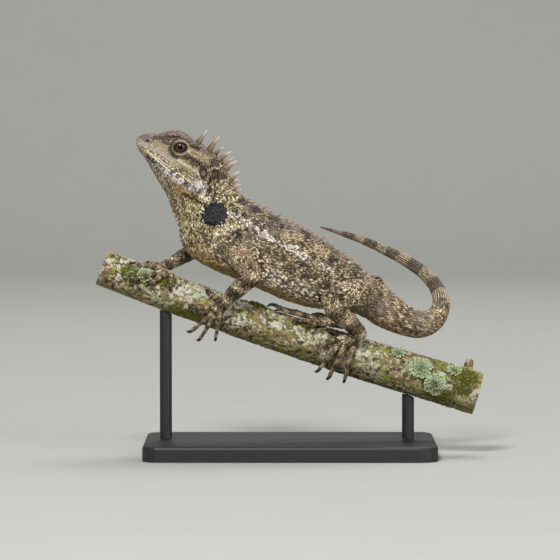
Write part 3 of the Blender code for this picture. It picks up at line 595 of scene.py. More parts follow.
def paint(mesh, colours, name="Marking"):
    """Writes one colour for each vertex."""
    layer = mesh.color_attributes.get(name) or mesh.color_attributes.new(name, "FLOAT_COLOR", "POINT")
    rows = np.ones((len(mesh.vertices), 4), np.float32)
    rows[:, :3] = np.clip(colours, 0.0, 1.0)
    layer.data.foreach_set("color", rows.ravel())
    mesh.color_attributes.active_color = layer


# Forms of small plates: points as (along, across, height in keels, height in rises of the tip), then
# faces. All are closed, with their underside sunk in the skin.
def plate_form(pairs, ends, ridge, sunk):
    """A pointed plate with an outline of paired points, a ridge along its middle and one low point."""
    points = [(ends[0], 0.0, -0.15, 0.0)]
    for along, across, high in pairs:
        points.append((along, across, high, along + 0.5))
    points.append((ends[1], 0.0, 0.0, ends[1] + 0.5))
    for along, across, high in reversed(pairs):
        points.append((along, -across, high, along + 0.5))
    rim = len(points)
    for along, high in ridge:
        points.append((along, 0.0, high, along + 0.5))
    points.append((0.0, 0.0, -sunk, 0.0))
    low = len(points) - 1
    tip = len(pairs) + 1
    faces = []
    for side in (1, -1):
        rims = [0, *(k * side % rim for k in range(1, tip)), tip]
        ridges = [rim, *range(rim, low), low - 1]
        for one, two, three, four in zip(rims, rims[1:], ridges, ridges[1:]):
            face = (one, two, four) if three == four else (one, two, four, three)
            faces.append(face[::side * -1])
        for one, two in zip(rims, rims[1:]):
            faces.append((one, two, low)[::side])
    return np.array(points), faces


KEELED = plate_form(
    ((-0.3, 0.4, 0), (0.08, 0.52, 0), (0.4, 0.36, 0)), (-0.5, 0.6),
    ((-0.25, 0.75), (0.08, 1), (0.4, 0.9)), 1.1,
)
SHIELD = plate_form(
    ((-0.34, 0.34, 0.1), (0, 0.48, 0.1), (0.34, 0.34, 0.1)), (-0.48, 0.48),
    ((-0.22, 0.9), (0, 1), (0.22, 0.9)), 1.2,
)
BRICK = plate_form(
    ((-0.44, 0.46, 0.1), (0, 0.5, 0.35), (0.44, 0.46, 0.1)), (-0.5, 0.5),
    ((-0.3, 0.9), (0, 1), (0.3, 0.9)), 1.2,
)
LOBE = plate_form(
    ((-0.1, 0.22, 0.2), (0.25, 0.5, 0.7), (0.45, 0.3, 1.3)), (-0.5, 0.5),
    ((-0.2, 0.6), (0.2, 0.5), (0.4, 0.9)), 0.6,
)


# How a plate's colour is shaded in paint: paler at its tip and keel, partly the scale's own pale keel and
# partly a painted highlight, and darker with painted shade at its root, on its rim and on its buried
# underside, where the scales overlap and meet. The painted shade on the rim is lighter on the flat plates
# of the head.
# Then the width of its patch in the UV map.
TIP_PALE_AND_HIGHLIGHT, ROOT_SHADE = 1.42, 0.55
RIM_SHADE, HEAD_RIM_SHADE = 0.5, 0.74
PATCH_WIDE = 0.003


def plate_mesh(name, plates, form, rim_shade):
    """One mesh of plates of one form, with a colour for each point and a small patch for each plate in
    its own UV map. plates holds arrays with a row for each plate: its place, the ways out of the skin
    and along the plate, its length, width, height and rise of the tip, its colour and its patch."""
    points, faces = form
    place, out, lie, size, colour, uv = plates
    out = unit(out)
    lie = unit(lie - out * np.sum(lie * out, axis=1, keepdims=True))
    side = np.cross(out, lie)
    long, wide, high, rise = size.T[:, :, None, None]
    x, y, z, lifted = points.T[:, None, :, None]
    places = (
        place[:, None] + lie[:, None] * x * long + side[:, None] * y * wide
        + out[:, None] * (z * high + lifted * rise)
    )
    mesh = bpy.data.meshes.new(name)
    mesh.vertices.add(len(place) * len(points))
    mesh.vertices.foreach_set("co", (places * MM).astype(np.float32).ravel())
    every = np.arange(len(place))[:, None]
    flat, corners = np.concatenate(faces), np.array([len(face) for face in faces])
    loops = flat + every * len(points)
    mesh.loops.add(loops.size)
    mesh.loops.foreach_set("vertex_index", loops.ravel().astype(np.int32))
    starts = np.cumsum(corners) - corners + every * len(flat)
    mesh.polygons.add(starts.size)
    mesh.polygons.foreach_set("loop_start", starts.ravel().astype(np.int32))
    mesh.update(calc_edges=True)
    x, y, z, _ = points.T
    # Painted highlight towards the tip and keel, painted shade at the root, on the rim and on the sunk
    # underside.
    shade = ROOT_SHADE + (TIP_PALE_AND_HIGHLIGHT - ROOT_SHADE) * np.clip(x + 0.45 + 0.25 * np.clip(z, 0, 1), 0, 1)
    shade = np.where(np.abs(y) > 0.2, rim_shade * shade, shade)
    shade = np.where(z < -0.5, ROOT_SHADE * rim_shade, shade)
    paint(mesh, (colour[:, None] * shade[:, None]).reshape(-1, 3))
    own = uv[:, None] + points[:, :2] * PATCH_WIDE
    layer = mesh.uv_layers.new(name="OFBake")
    layer.data.foreach_set("uv", own[:, flat].astype(np.float32).ravel())
    return mesh


class Surface:
    """The fused skin, asked for its nearest place and its smooth normal there."""

    def __init__(self, mesh):
        self.tree = BVHTree.FromPolygons(
            [v.co for v in mesh.vertices], [p.vertices for p in mesh.polygons]
        )
        self.corners = [p.vertices[:] for p in mesh.polygons]
        self.normals = vertex_normals(mesh)

    def read(self, hits):
        """The places of hits, the smooth normals there, and how far off each was."""
        outs = np.array([self.normals[list(self.corners[hit[2]])].mean(axis=0) for hit in hits])
        return np.array([hit[0] for hit in hits]) / MM, unit(outs), np.array([hit[3] for hit in hits]) / MM

    def nearest(self, places):
        return self.read([self.tree.find_nearest(Vector(place) * MM) for place in places])

    def cast(self, starts, way):
        """Where rays from the starts along the way meet the skin."""
        return self.read([self.tree.ray_cast(Vector(start) * MM, Vector(way)) for start in starts])


# Places along a tube that its rows are counted from, and the room kept free at the seam under it.
DENSE = 500
SEAM_ROOM = 0.3


def scale_lattice(rings_of, start, end, pitch, step=0.62, even_from=math.inf):
    """Staggered rows of places on a tube, counted from the middle of its back round both sides.

    rings_of gives a ring for each place along the tube, and pitch the width of a scale. The result has
    the places, the way along the tube, how far round each lies (0 to 1 on the far side, 0 to -1 on the
    near side), how far along, the pitch, the spacing of rows and the point of the ring. From even_from
    on the rows aren't staggered, so that keels join in lines.
    """
    dense = np.linspace(start, end, DENSE)
    rings = rings_of(dense)
    quarter = rings.shape[1] // 4
    half = rings.shape[1] // 2
    middle = (rings[:, quarter] + rings[:, -quarter]) / 2
    gone = norm(np.diff(middle, axis=0), axis=1) / (pitch(dense[1:]) * step)
    gone = np.concatenate(([0.0], np.cumsum(gone)))
    steps = np.arange(0.5, gone[-1])
    at = np.interp(steps, gone, dense)
    rows = [rings_of(np.interp(steps + by, gone, dense)) for by in (0.0, 0.5, -0.5)]
    pitches = pitch(at)
    found = []
    numbers = np.arange(half + 1)
    order = {-1: numbers, 1: np.concatenate(([0], np.arange(2 * half - 1, half - 1, -1)))}
    for i in range(len(at)):
        for side, pick in order.items():
            arc = gone_along(rows[0][i, pick])
            first = 0.5 * pitches[i] * (i % 2) if at[i] < even_from else 0.0
            if side > 0 and first == 0.0:
                first = pitches[i]
            room = SEAM_ROOM * pitches[i] if side > 0 else 0.0
            marks = np.arange(first, arc[-1] - room, pitches[i])
            if not len(marks):
                continue
            index = np.interp(marks, arc, numbers)
            place, front, back = (rows_at(index, numbers, rings[i, pick]) for rings in rows)
            way = front - back
            far = side * marks / arc[-1]
            rest = columns(far, at[i], pitches[i], norm(way, axis=1), index / half)
            found.append((place, way, rest))
    place, way, rest = (np.concatenate(values) for values in zip(*found))
    return {"place": place, "way": way, **dict(zip(("round", "at", "pitch", "row", "index"), rest.T))}


def keep_rows(lattice, chosen):
    return {name: values[chosen] for name, values in lattice.items()}


# Folds of the skin as seen from the side (X, Z), with depth as a share of the setting and half width.
FOLDS = (
    (((-24.8, 76.2), (-26.6, 76.2), (-28.6, 75.6), (-30.2, 74.2), (-31.2, 71.6), (-31.4, 68.6)), 1, 0.55),
    (((-24.4, 85.6), (-26.2, 83), (-27.8, 80.6), (-30, 78.4), (-32.2, 76.8)), 0.7, 0.6),
    (((-26.4, 96.4), (-25.8, 93.6), (-26.2, 90.4), (-27.8, 87.6), (-30, 85.6)), 0.9, 0.6),
    (((-12, 74.6), (-16, 74), (-18.6, 71.6), (-19, 68.6)), 0.5, 0.7),
    (((-10, 64), (-2, 61), (8, 56.6), (16, 53.6)), 0.45, 1),
    (((21, 59.5), (17, 59.8), (13.6, 57.6), (12, 54.4)), 0.7, 0.7),
)


def off_line(points, line):
    """Distance in the side view from points to a line of (X, Z) places."""
    flat = points[:, (0, 2)]
    best = np.full(len(points), np.inf)
    for one, two in zip(line, line[1:]):
        one, two = np.array(one), np.array(two)
        way = two - one
        share = np.clip((flat - one) @ way / (way @ way), 0, 1)
        best = np.minimum(best, norm(flat - one - share[:, None] * way, axis=1))
    return best


# Depth and size of the unevenness, half the width of the trunk, and the ridge beside each fold: its
# height as a share of the depth, and how far away it lies in half widths.
UNEVEN, UNEVEN_SIZE = 0.07, 2.6
TRUNK_HALF = 11.4
RIDGE_SHARE, RIDGE_AWAY = 0.45, 1.9


def fold_skin(mesh, depth):
    """Presses the folds with their soft ridges and a slight unevenness into the skin."""
    places, normals = vertex_places(mesh), vertex_normals(mesh)
    press = UNEVEN * noise(places, UNEVEN_SIZE, 5)
    where = ease(0.15, 0.5, np.abs(normals[:, 1])) * (np.abs(places[:, 1]) < TRUNK_HALF)
    for line, share, width in FOLDS:
        gap = off_line(places, line)
        press -= depth * share * np.exp(-((gap / width) ** 2)) * where
        press += RIDGE_SHARE * depth * share * np.exp(-(((gap - RIDGE_AWAY * width) / width) ** 2)) * where
    places += normals * press[:, None]
    mesh.vertices.foreach_set("co", (places * MM).astype(np.float32).ravel())
    mesh.update()


def mirrored(place, side):
    return Vector((place[0], side * abs(place[1]), place[2]))


# The way of the scales where a limb leaves the trunk.
TRUNK_WAY = (0.87, 0, -0.49)
# Swellings of the head on both sides, with their radii: lids, jaw, cheek, nostril, rim of the ear and
# the muscle behind it.
SWELLINGS = (
    (EYE_AT, (LID_RADIUS - 0.12,) * 3), ((-31.4, 6.3, 88.3), (5.2, 1.8, 3.2)),
    ((-35.6, 6, 95.8), (4.4, 0.9, 1.7)), (NOSTRIL_AT, (0.9, 0.55, 0.75)),
    ((-28.4, 6.9, 93.2), (2.2, 1.1, 2.7)), ((-24.8, 5, 94.6), (3.2, 1.8, 4.2)),
)
NOSTRIL_HOLE = (0.42, 0.8, 0.32)
EAR_DEPTH, EAR_OUT = 1.55, 1.75
EYE_ROOM = 0.03
SLIT_DEEP, SLIT_OUT, SLIT_PINCH = 6.0, 4.2, 0.5
# Rings along the tubes of the flesh.
BODY_RINGS, TAIL_RINGS, LIMB_RINGS, DIGIT_RINGS, BROW_RINGS = 170, 190, 60, 30, 40


def limb_tubes():
    """Each limb and digit as tubes: (limb, its tube, its digits' tubes, their claws)."""
    for limb, knots in LIMBS.items():
        digits, claws = [], []
        for number in range(len(DIGITS[limb])):
            path, claw, inward = digit_knots(limb, number)
            digits.append(Tube(path, 16, tuple(-inward)))
            claws.append((claw, inward))
        yield limb, Tube(knots, 28, (0.0, -1.0, 0.4)), digits, claws


def flesh_parts(bm, depth):
    """Adds every tube and swelling of the flesh, which overlap and are fused afterwards."""
    add_tube(bm, body_rings(np.linspace(0, len(BODY) - 1, BODY_RINGS), -depth))
    add_tube(bm, Tube(TAIL, 36).whole(TAIL_RINGS, -depth * 0.6))
    for limb, tube, digits, _ in limb_tubes():
        add_tube(bm, tube.whole(LIMB_RINGS, -depth))
        add_ball(bm, LIMBS[limb][-1][0], [r - depth for r in PALM_RADII[limb]])
        for digit in digits:
            add_tube(bm, digit.whole(DIGIT_RINGS, -0.1))
    for side in (-1, 1):
        brow = Tube([(mirrored(place, side), radius) for place, radius in BROW], 16)
        add_tube(bm, brow.whole(BROW_RINGS, -depth))
        for place, radii in SWELLINGS:
            add_ball(bm, mirrored(place, side), radii)


def openings(bm):
    """Adds what is cut from the head: eye sockets, the slit between the lids, nostrils and ears."""
    for side in (-1, 1):
        eye = mirrored(EYE_AT, side)
        add_ball(bm, eye, (EYE_RADIUS + EYE_ROOM,) * 3, 32, 20)
        nostril, ear = mirrored(NOSTRIL_AT, side), mirrored(EAR_AT, side)
        add_ball(bm, nostril + Vector((-0.1, side * 0.5, 0.05)), NOSTRIL_HOLE, 20, 14)
        add_ball(bm, ear + Vector((0.0, side * EAR_OUT, 0.0)), (EAR_LONG, EAR_DEPTH, EAR_TALL), 20, 14)
        made = bmesh.ops.create_cone(
            bm, cap_ends=True, segments=40, radius1=1.0, radius2=1.0, depth=SLIT_DEEP
        )["verts"]
        bmesh.ops.scale(bm, vec=(SLIT_LONG, SLIT_TALL, 1.0), verts=made)
        for vert in made:
            vert.co.y *= 1.0 - SLIT_PINCH * max(abs(vert.co.x) / SLIT_LONG - 0.4, 0.0)
        bmesh.ops.rotate(bm, matrix=Matrix.Rotation(math.pi / 2, 3, "X"), verts=made)
        bmesh.ops.translate(bm, vec=eye + Vector((0.0, side * SLIT_OUT, 0.0)), verts=made)


FLESH_NODES = (
    "head", "neck", "torso", "tail_root", "tail_bend", "tail_middle", "tail_tip",
    "upper_arm_left", "forearm_left", "hand_left", "upper_arm_right", "forearm_right", "hand_right",
    "thigh_left", "shank_left", "foot_left", "thigh_right", "shank_right", "foot_right",
)


def principled(name, roughness, specular=0.5):
    """A new material and its shader, with plain values on the shader's own sockets."""
    material = bpy.data.materials.new(name)
    material.use_nodes = True
    shader = material.node_tree.nodes["Principled BSDF"]
    shader.inputs["Roughness"].default_value = roughness
    shader.inputs["Specular IOR Level"].default_value = specular
    return material, shader


def add_node(material, kind, inputs=None, **values):
    """A new node. inputs gives a value or another node's socket by the input's name or number."""
    node = material.node_tree.nodes.new("ShaderNode" + kind)
    for name, value in values.items():
        setattr(node, name, value)
    for name, value in (inputs or {}).items():
        socket = node.inputs[name]
        if isinstance(value, bpy.types.NodeSocket):
            material.node_tree.links.new(value, socket)
        else:
            socket.default_value = value
    return node


def link(material, output, socket):
    material.node_tree.links.new(output, socket)


def noise_node(material, size, detail=3.0):
    """Noise on Object coordinates, in blobs about as wide as size in millimetres."""
    place = add_node(material, "TexCoord").outputs["Object"]
    inputs = {"Vector": place, "Scale": 1.0 / (size * MM), "Detail": detail, "Roughness": 0.6}
    return add_node(material, "TexNoise", inputs).outputs["Fac"]


def bump_node(material, height, strength, distance):
    """A bump that is so many millimetres high."""
    return add_node(material, "Bump", {"Height": height, "Strength": strength, "Distance": distance * MM})


def multiplied(material, one, two):
    """The product of the colours from two sockets."""
    mix = add_node(material, "Mix", {0: 1.0}, data_type="RGBA", blend_type="MULTIPLY")
    link(material, one, mix.inputs[6])
    link(material, two, mix.inputs[7])
    return mix.outputs[2]


def two_tones(material, level, low, high, start=0.0, end=1.0):
    """The colour from one tone to another, by a level that goes from start to end."""
    node = add_node(material, "ValToRGB", {"Fac": level})
    first, last = node.color_ramp.elements
    first.position, last.position = start, end
    first.color, last.color = (*low, 1.0), (*high, 1.0)
    return node.outputs["Color"]


# The size of the grain that makes each marked material's colour uneven.
GRAIN = 0.35


def marked_material(name, roughness, uneven, bumps, specular=0.4):
    """Colour from the Marking attribute, made uneven by fine noise, with bumps of (size, height)."""
    material, shader = principled(name, roughness, specular)
    marking = add_node(material, "VertexColor", layer_name="Marking")
    level = add_node(
        material, "MapRange",
        {"Value": noise_node(material, GRAIN), "From Min": 0.3, "From Max": 0.7, "To Min": 1.0 - uneven,
         "To Max": 1.0 + uneven},
    )
    colour = multiplied(material, marking.outputs["Color"], level.outputs["Result"])
    link(material, colour, shader.inputs["Base Color"])
    normal = None
    for size, height in bumps:
        bump = bump_node(material, noise_node(material, size, 4.0), 0.6, height)
        if normal is not None:
            link(material, normal, bump.inputs["Normal"])
        normal = bump.outputs["Normal"]
    link(material, normal, shader.inputs["Normal"])
    return material


# The grid that fuses what is cut from the head, and the angle from which an edge of the skin is sharp.
CUTTER_VOXEL = 0.12
SKIN_CREASE = math.radians(55.0)


def fuse(thing, voxel):
    """Makes one closed surface of all that overlaps in an object."""
    remesh = thing.modifiers.new("fuse", "REMESH")
    remesh.mode = "VOXEL"
    remesh.voxel_size = voxel


def the_skin():
    return bpy.data.objects["skin"].data


class PRICKLENAPE_OT_skin(bpy.types.Operator):
    """Fuse the flesh into one skin and cut the openings of the head"""

    bl_idname = "pricklenape.skin"
    bl_label = "Skin"

    def execute(self, context):
        chosen = settings("skin")
        bm = bmesh.new()
        flesh_parts(bm, chosen.depth / MM)
        thing = new_object("flesh", in_metres(bm, "flesh"))
        fuse(thing, chosen.voxel)
        smooth = thing.modifiers.new("smooth", "SMOOTH")
        smooth.factor = 0.5
        smooth.iterations = 2
        thin = thing.modifiers.new("thin", "DECIMATE")
        thin.ratio = chosen.kept
        fold_skin(applied(thing), chosen.fold / MM)
        bm = bmesh.new()
        openings(bm)
        cutter = new_object("openings", in_metres(bm, "openings"))
        fuse(cutter, CUTTER_VOXEL * MM)
        cut = thing.modifiers.new("cut", "BOOLEAN")
        cut.operation = "DIFFERENCE"
        cut.solver = "MANIFOLD"
        cut.object = cutter
        mesh = applied(thing)
        bpy.data.objects.remove(cutter, do_unlink=True)
        bpy.data.objects.remove(thing, do_unlink=True)
        mesh.name = "skin"
        mesh.shade_smooth()
        mesh.set_sharp_from_angle(angle=SKIN_CREASE)
        material = marked_material("lizard skin", 0.68, 0.12, ((0.22, 0.05), (0.9, 0.08)))
        new_piece("skin", mesh, material, FLESH_NODES)
        return {"FINISHED"}


def scale_tones(level):
    """The colours of scales by level, from the darkest at 0 to the palest at 1."""
    tones = settings("marking")
    return ramp(level, (tones.deep, tones.dark, tones.brown, tones.tan, tones.cream))


def trunk_colours(place, draw, speck, ridge=0.0, belly=0.0, back=0.0):
    """The speckled pattern of the trunk at any places, with two random numbers for each."""
    tones = settings("marking")
    broad, fine = noise(place, 3.4, 1), noise(place, 1.3, 2)
    checked = np.exp(-((off_line(place, CHECKED) / 3.6) ** 2))
    clump = 0.45 * noise(place, 0.8, 51) + 0.9 * (speck - 0.5)
    level = 0.4 + 0.07 * broad + 0.2 * fine + 0.8 * (draw - 0.5)
    level += checked * np.where(clump > 0.1, 0.78, -0.34) * (1 - 0.3 * draw)
    colours = scale_tones(level)
    colours = mixed(colours, tones.grey, 0.35 * ease(-0.2, 0.6, noise(place, 5.0, 12)))
    colours = colours * (1 - 0.22 * back)
    colours = marked(colours, place, draw, TRUNK_MARKS, 4)
    rusty = ease(-0.35, 0.25, noise(place, 2.6, 14))
    colours = mixed(colours, tones.rust, 0.42 * ridge * rusty)
    return mixed(colours, np.asarray(tones.ochre) * (0.4 + 0.66 * draw[:, None]), 0.74 * belly)


def two_draws(seed, count):
    """Two random numbers for each of many scales."""
    rng = np.random.default_rng(seed)
    return rng.random(count), rng.random(count)


def limb_colours(lattice, kind, seed):
    """The trunk's pattern at the root, then dark bars down to the digits."""
    tones = settings("marking")
    place, at = lattice["place"], lattice["at"]
    draw, speck = two_draws(seed, len(at))
    level = 0.46 + 0.08 * noise(place, 2.2, seed) + 0.12 * noise(place, 1.0, seed)
    level += (0.92 - 0.24 * ease(2.2, 3.2, at)) * (draw - 0.5)
    if kind == "digit":
        level += 0.17 * np.cos(at * 3.3 + seed) - 0.01 - 0.34 * (draw - 0.5)
    else:
        bars = np.cos(at * (4.4 if kind == "arm" else 3.6) + 1.1 * noise(place, 3.0, seed + 3))
        darker = 0.12 if kind == "arm" else 0.04
        level += np.where(at > 2.4, 0.27, 0.1) * bars - darker * ease(2.8, 4.0, at)
    colours = scale_tones(level)
    if kind == "arm":
        blush = between(0.8, 1.6, 2.8, 3.4, at) * ease(-0.1, 0.5, noise(place, 2.6, 8) + 0.2)
        colours = mixed(colours, tones.rust, 0.38 * blush)
    under = ease(0.6, 0.85, np.abs(lattice["round"]))
    if kind != "digit":
        colours = mixed(colours, tones.ochre, 0.35 * under * (1 - ease(2.0, 4.0, at)))
        colours = mixed(trunk_colours(place, draw, speck), colours, ease(0.2, 1.8, at))
    return colours


# Bands of the tail, in knots of TAIL: where one begins, and how long a dark and a pale one are.
BANDS_FROM, BAND_LONG = 6.5, 1.62


def tail_colours(lattice, seed):
    """The trunk's pattern at the root, then dark bands with narrower pale ones between them."""
    tones = settings("marking")
    place, at = lattice["place"], lattice["at"]
    draw, speck = two_draws(seed, len(at))
    phase = np.cos(math.tau * (at - BANDS_FROM) / BAND_LONG + 0.3 * noise(place, 2.2, seed))
    pale = ease(-0.1, 0.35, -phase)
    banded = ease(4.4, 5.8, at)
    under = ease(0.6, 0.9, np.abs(lattice["round"]))
    mottled = trunk_colours(place, draw, speck, 0.0, 0.5 * under)
    mottled = mixed(mottled, tones.rust, 0.14 * ease(0.0, 0.5, noise(place, 3.0, 17)))
    dark = mixed(tones.dark, tones.grey, 0.22) * (0.5 + 0.9 * draw[:, None])
    light = mixed(tones.tan, tones.grey, 0.42) * (0.55 + 0.75 * draw[:, None])
    pale = np.clip(pale - 0.5 * (speck > 0.84) + 0.4 * (speck < 0.08), 0, 1)
    pale = pale * (1 - 0.35 * ease(12.5, 14.0, at))
    return mixed(mottled, 0.9 * mixed(dark, light, pale), 0.95 * banded)


# Markings as seen from the side, laid one over the other: the tone, how strong it is, half its width,
# and X and Z of each place on the line that it follows.
TRUNK_MARKS = (
    ("lilac", 0.45, 1.2, -20.5, 79.9, -16.5, 78.9, -13.2, 75.6, -9.2, 73.6),
    ("lilac", 0.62, 1.3, -11.2, 74.4, -8.6, 73.4, -6.2, 71.6),
    ("lilac", 0.3, 0.9, -6.2, 71.6, -3.3, 70, 0, 68.3),
    ("lilac", 0.55, 1.2, -0.6, 68.7, 2, 67.4, 4.8, 65.6),
    ("lilac", 0.32, 1, 8.2, 63.6, 11.5, 61.7, 14.9, 59.4),
    ("cream", 0.4, 1.4, -24, 73.4, -20, 75.2, -17.6, 76.8),
    ("deep", 0.75, 0.62, -19, 73.2, -16.5, 74.3, -12.4, 74.5, -11.4, 73.4),
    ("deep", 0.85, 1.1, -17.6, 73, -16.8, 71.4, -18.2, 69.6),
    ("deep", 0.85, 0.75, -15.8, 79.4, -14.8, 78.8),
    ("deep", 0.95, 1.1, -16.4, 84.2, -14.8, 83),
    ("deep", 0.85, 1.1, -12.6, 82.2, -11, 80.8),
    ("deep", 0.7, 0.6, -10.2, 75.2, -9.4, 74.6),
    ("deep", 0.9, 1.35, -6, 79.2, -4.4, 77.8),
    ("deep", 0.8, 0.9, -3, 75.6, -2.2, 74.6),
    ("deep", 0.85, 0.55, -6.8, 70.4, -5.8, 70),
    ("deep", 0.9, 1.3, 4.2, 74.6, 5.6, 72.6),
    ("dark", 0.7, 1, -8, 67.6, -3.4, 66.6, -1, 66),
    ("deep", 0.75, 0.7, 2.4, 63.6, 4.6, 62.8),
    ("dark", 0.7, 1.3, 4.4, 61.4, 8.6, 60),
    ("deep", 0.9, 1.25, 14.4, 69, 16, 67.4),
    ("deep", 0.75, 0.65, 12.6, 64.8, 15.2, 64.6),
    ("deep", 0.85, 1.05, 21.4, 63.4, 22.8, 62),
    ("dark", 0.7, 1.1, 10, 56.8, 14.6, 56.4, 17.4, 57.2),
    ("tan", 0.55, 1.5, -2, 73.4, 3, 71.6),
    ("tan", 0.55, 1.4, 8, 68.6, 11.6, 66.4),
)
# Where dark and pale scales lie side by side on the lower flank.
CHECKED = ((-11.4, 61.2), (-5, 57.6), (2, 54.2), (8.4, 51.8))
HEAD_MARKS = (
    ("grey", 0.8, 1.3, -49.2, 104.6, -46.6, 105.4, -43.4, 105.6),
    ("lilac", 0.42, 1.2, -49.6, 103.2, -46.8, 101.9, -43.4, 100.1, -40, 98.2, -37.4, 96),
    ("tan", 0.45, 1.1, -45, 101.4, -42, 99.8, -39.6, 97.6, -35.4, 95.4, -31.6, 93.2),
    ("tan", 0.6, 0.95, -44.4, 102.9, -42.4, 102.1, -40.6, 101.4),
    ("tan", 0.7, 1.2, -33.2, 100.4, -30, 99, -27, 97.4),
    ("dark", 0.85, 1.15, -36.6, 99.2, -33.6, 98.4, -31, 96.6, -28.9, 95.4),
    ("deep", 0.6, 0.7, -34.2, 98.6, -31.4, 96.8, -29.4, 95.6),
    ("cream", 0.52, 0.62, -36.6, 97.3, -34.4, 96, -31.4, 94.2, -29.8, 93.4),
    ("deep", 0.95, 0.8, -38.4, 99.1, -37, 98.4),
    ("deep", 0.85, 0.55, -39.6, 101.6, -38.9, 100.2, -38.2, 99.2),
    ("dark", 0.95, 0.62, -41.6, 103.3, -40.4, 102.9, -39.4, 102.4),
    ("deep", 0.85, 0.3, -44.9, 104.5, -42.9, 104.6, -41, 104.3, -39, 103.9),
    ("deep", 0.9, 0.62, -33.2, 102.2, -30.2, 101.3),
    ("ochre", 0.5, 0.85, -50, 101.2, -47.4, 99.4, -44.8, 98),
    ("lilac", 0.97, 1.15, -44.4, 96.8, -41.2, 95, -39.4, 93.8),
    ("lilac", 1, 2.15, -39.8, 94, -38, 92.8, -34.6, 90.7, -31.4, 89.1),
    ("lilac", 0.9, 1.75, -31.4, 89, -28.8, 87.9),
    ("rust", 0.65, 1.1, -28.4, 91.2, -27.4, 89),
    ("cream", 0.9, 0.5, -30.4, 86.2, -28.4, 85.2, -26.4, 83.9),
    ("deep", 0.85, 0.6, -46.9, 98.6, -46.2, 98),
    ("deep", 0.85, 0.75, -45.2, 97.3, -44.4, 96.7),
    ("ochre", 0.7, 1.5, -37.4, 88.4, -33, 85.8, -29.4, 83.6),
    ("deep", 0.75, 0.75, -34.6, 86.4, -31, 84.4, -28.4, 83),
    ("deep", 0.9, 0.42, -25.7, 95.4, -25.4, 92.6, -26.1, 89.4, -27, 86.8),
    ("dark", 0.75, 0.5, -25.2, 92.2, -24.4, 88.6, -25, 85.4),
    ("dark", 0.7, 0.7, -22.4, 93.4, -21.6, 91.6),
)
PATCH_AT, PATCH_LONG, PATCH_TALL = (-24.8, 79.8), 4.45, 4.15
PATCH_TURN = math.radians(20.0)
JAW_LINE = ((-43.8, 96.5), (-38, 92.8), (-34.6, 90.7), (-31.4, 89), (-28.8, 87.9))


def reach_of(place, centre, long, tall, turn=0.0):
    """Distance from a centre in the side view, as a share of a turned ellipse's half axes."""
    right, up = place[:, 0] - centre[0], place[:, 2] - centre[1]
    along = right * math.cos(turn) + up * math.sin(turn)
    across = up * math.cos(turn) - right * math.sin(turn)
    return np.hypot(along / long, across / tall)


def marked(colours, place, draw, marks, seed, rough=1.0):
    """Colours with marks of the side view laid on them, with uneven edges, on both sides alike."""
    tones = settings("marking")
    edge = rough * (0.45 * noise(place, 1.1, seed) + 0.3 * noise(place, 0.5, seed + 1))
    for tone_name, share, width, *line in marks:
        reach = off_line(place, np.reshape(line, (-1, 2))) / width + edge
        strong = share * (1 - ease(0.6, 1.25, reach))
        even = rough < 1 and tone_name not in ("dark", "deep")
        low, high = (0.78, 1.14) if even else (0.62, 1.28)
        shade = np.asarray(getattr(tones, tone_name)) * (low + (high - low) * draw[:, None])
        taken = (draw * 97.13) % 1.0 < strong
        colours = mixed(colours, shade, 0.9 * strong if even else np.where(taken, 0.92, 0.3 * strong))
    return colours


def body_colours(lattice, seed):
    """The markings of the head, neck and trunk, one colour for each scale."""
    tones = settings("marking")
    place, at, k = lattice["place"], lattice["at"], lattice["index"] * (len(HEAD_HALF) - 1)
    beside = np.abs(lattice["round"])
    draw, speck = two_draws(seed, len(at))
    broad, fine = noise(place, 3.4, 1), noise(place, 1.3, 2)
    trunk = trunk_colours(
        place, draw, speck, 1 - ease(0.03, 0.11, beside), ease(0.7, 0.84, beside),
        (1 - ease(0.2, 0.42, beside))[:, None],
    )
    crown = 1 - ease(3.4, 4.6, k)
    throat = ease(11.0, 12.2, k)
    level = 0.49 + 0.06 * broad + 0.12 * fine + 0.5 * (draw - 0.5) - 0.35 * (speck > 0.94)
    face = mixed(scale_tones(level), tones.lilac, 0.16 * ease(1.0, 6.0, -36.0 - place[:, 0]))
    top = mixed(tones.grey, tones.brown, 0.22) * (0.62 + 0.66 * draw[:, None])
    top = mixed(top, tones.dark, 0.6 * (speck > 0.9) + 0.25 * np.clip(-fine, 0, 1))
    face = mixed(face, top, 0.9 * crown)
    level = 0.47 + 0.12 * fine + 1.35 * (draw - 0.5)
    under = mixed(scale_tones(level), tones.olive, 0.3)
    face = mixed(face, under, 0.9 * throat)
    face = marked(face * (0.9 + 0.08 * crown[:, None]), place, draw, HEAD_MARKS, 6, 0.55)
    jaw = 1 - ease(1.5, 2.1, off_line(place, JAW_LINE))
    flecks = speck > 0.84 - 0.22 * ease(-39.0, -33.0, place[:, 0])
    face = mixed(face, tones.deep, 0.85 * jaw * flecks)
    level = 0.48 + 0.06 * broad + 0.14 * fine + 1.05 * (draw - 0.5)
    neck = mixed(scale_tones(level), tones.olive, 0.12 + 0.18 * ease(0.4, 0.9, beside))
    neck = marked(neck, place, draw, HEAD_MARKS + TRUNK_MARKS, 6)
    to_neck = ease(7.2, 9.2, at + 0.7 * (beside - 0.5))
    to_trunk = ease(10.8, 12.6, at)
    colours = mixed(mixed(face, neck, to_neck), trunk, to_trunk)
    reach = reach_of(place, PATCH_AT, PATCH_LONG, PATCH_TALL, PATCH_TURN) + 0.1 * noise(place, 2.4, 19)
    reach += 0.15 * noise(place, 0.8, 10) + 0.34 * (draw - 0.5)
    patch = np.asarray(tones.black) * (0.4 + 1.3 * draw[:, None])
    return mixed(colours, patch, 0.98 * (reach < 1.0))


# Length of a scale in spacings of rows, its width in pitches, and how much larger some single ones are.
SCALE_LONG, SCALE_WIDE = 2.15, 1.12
LARGER = 0.28


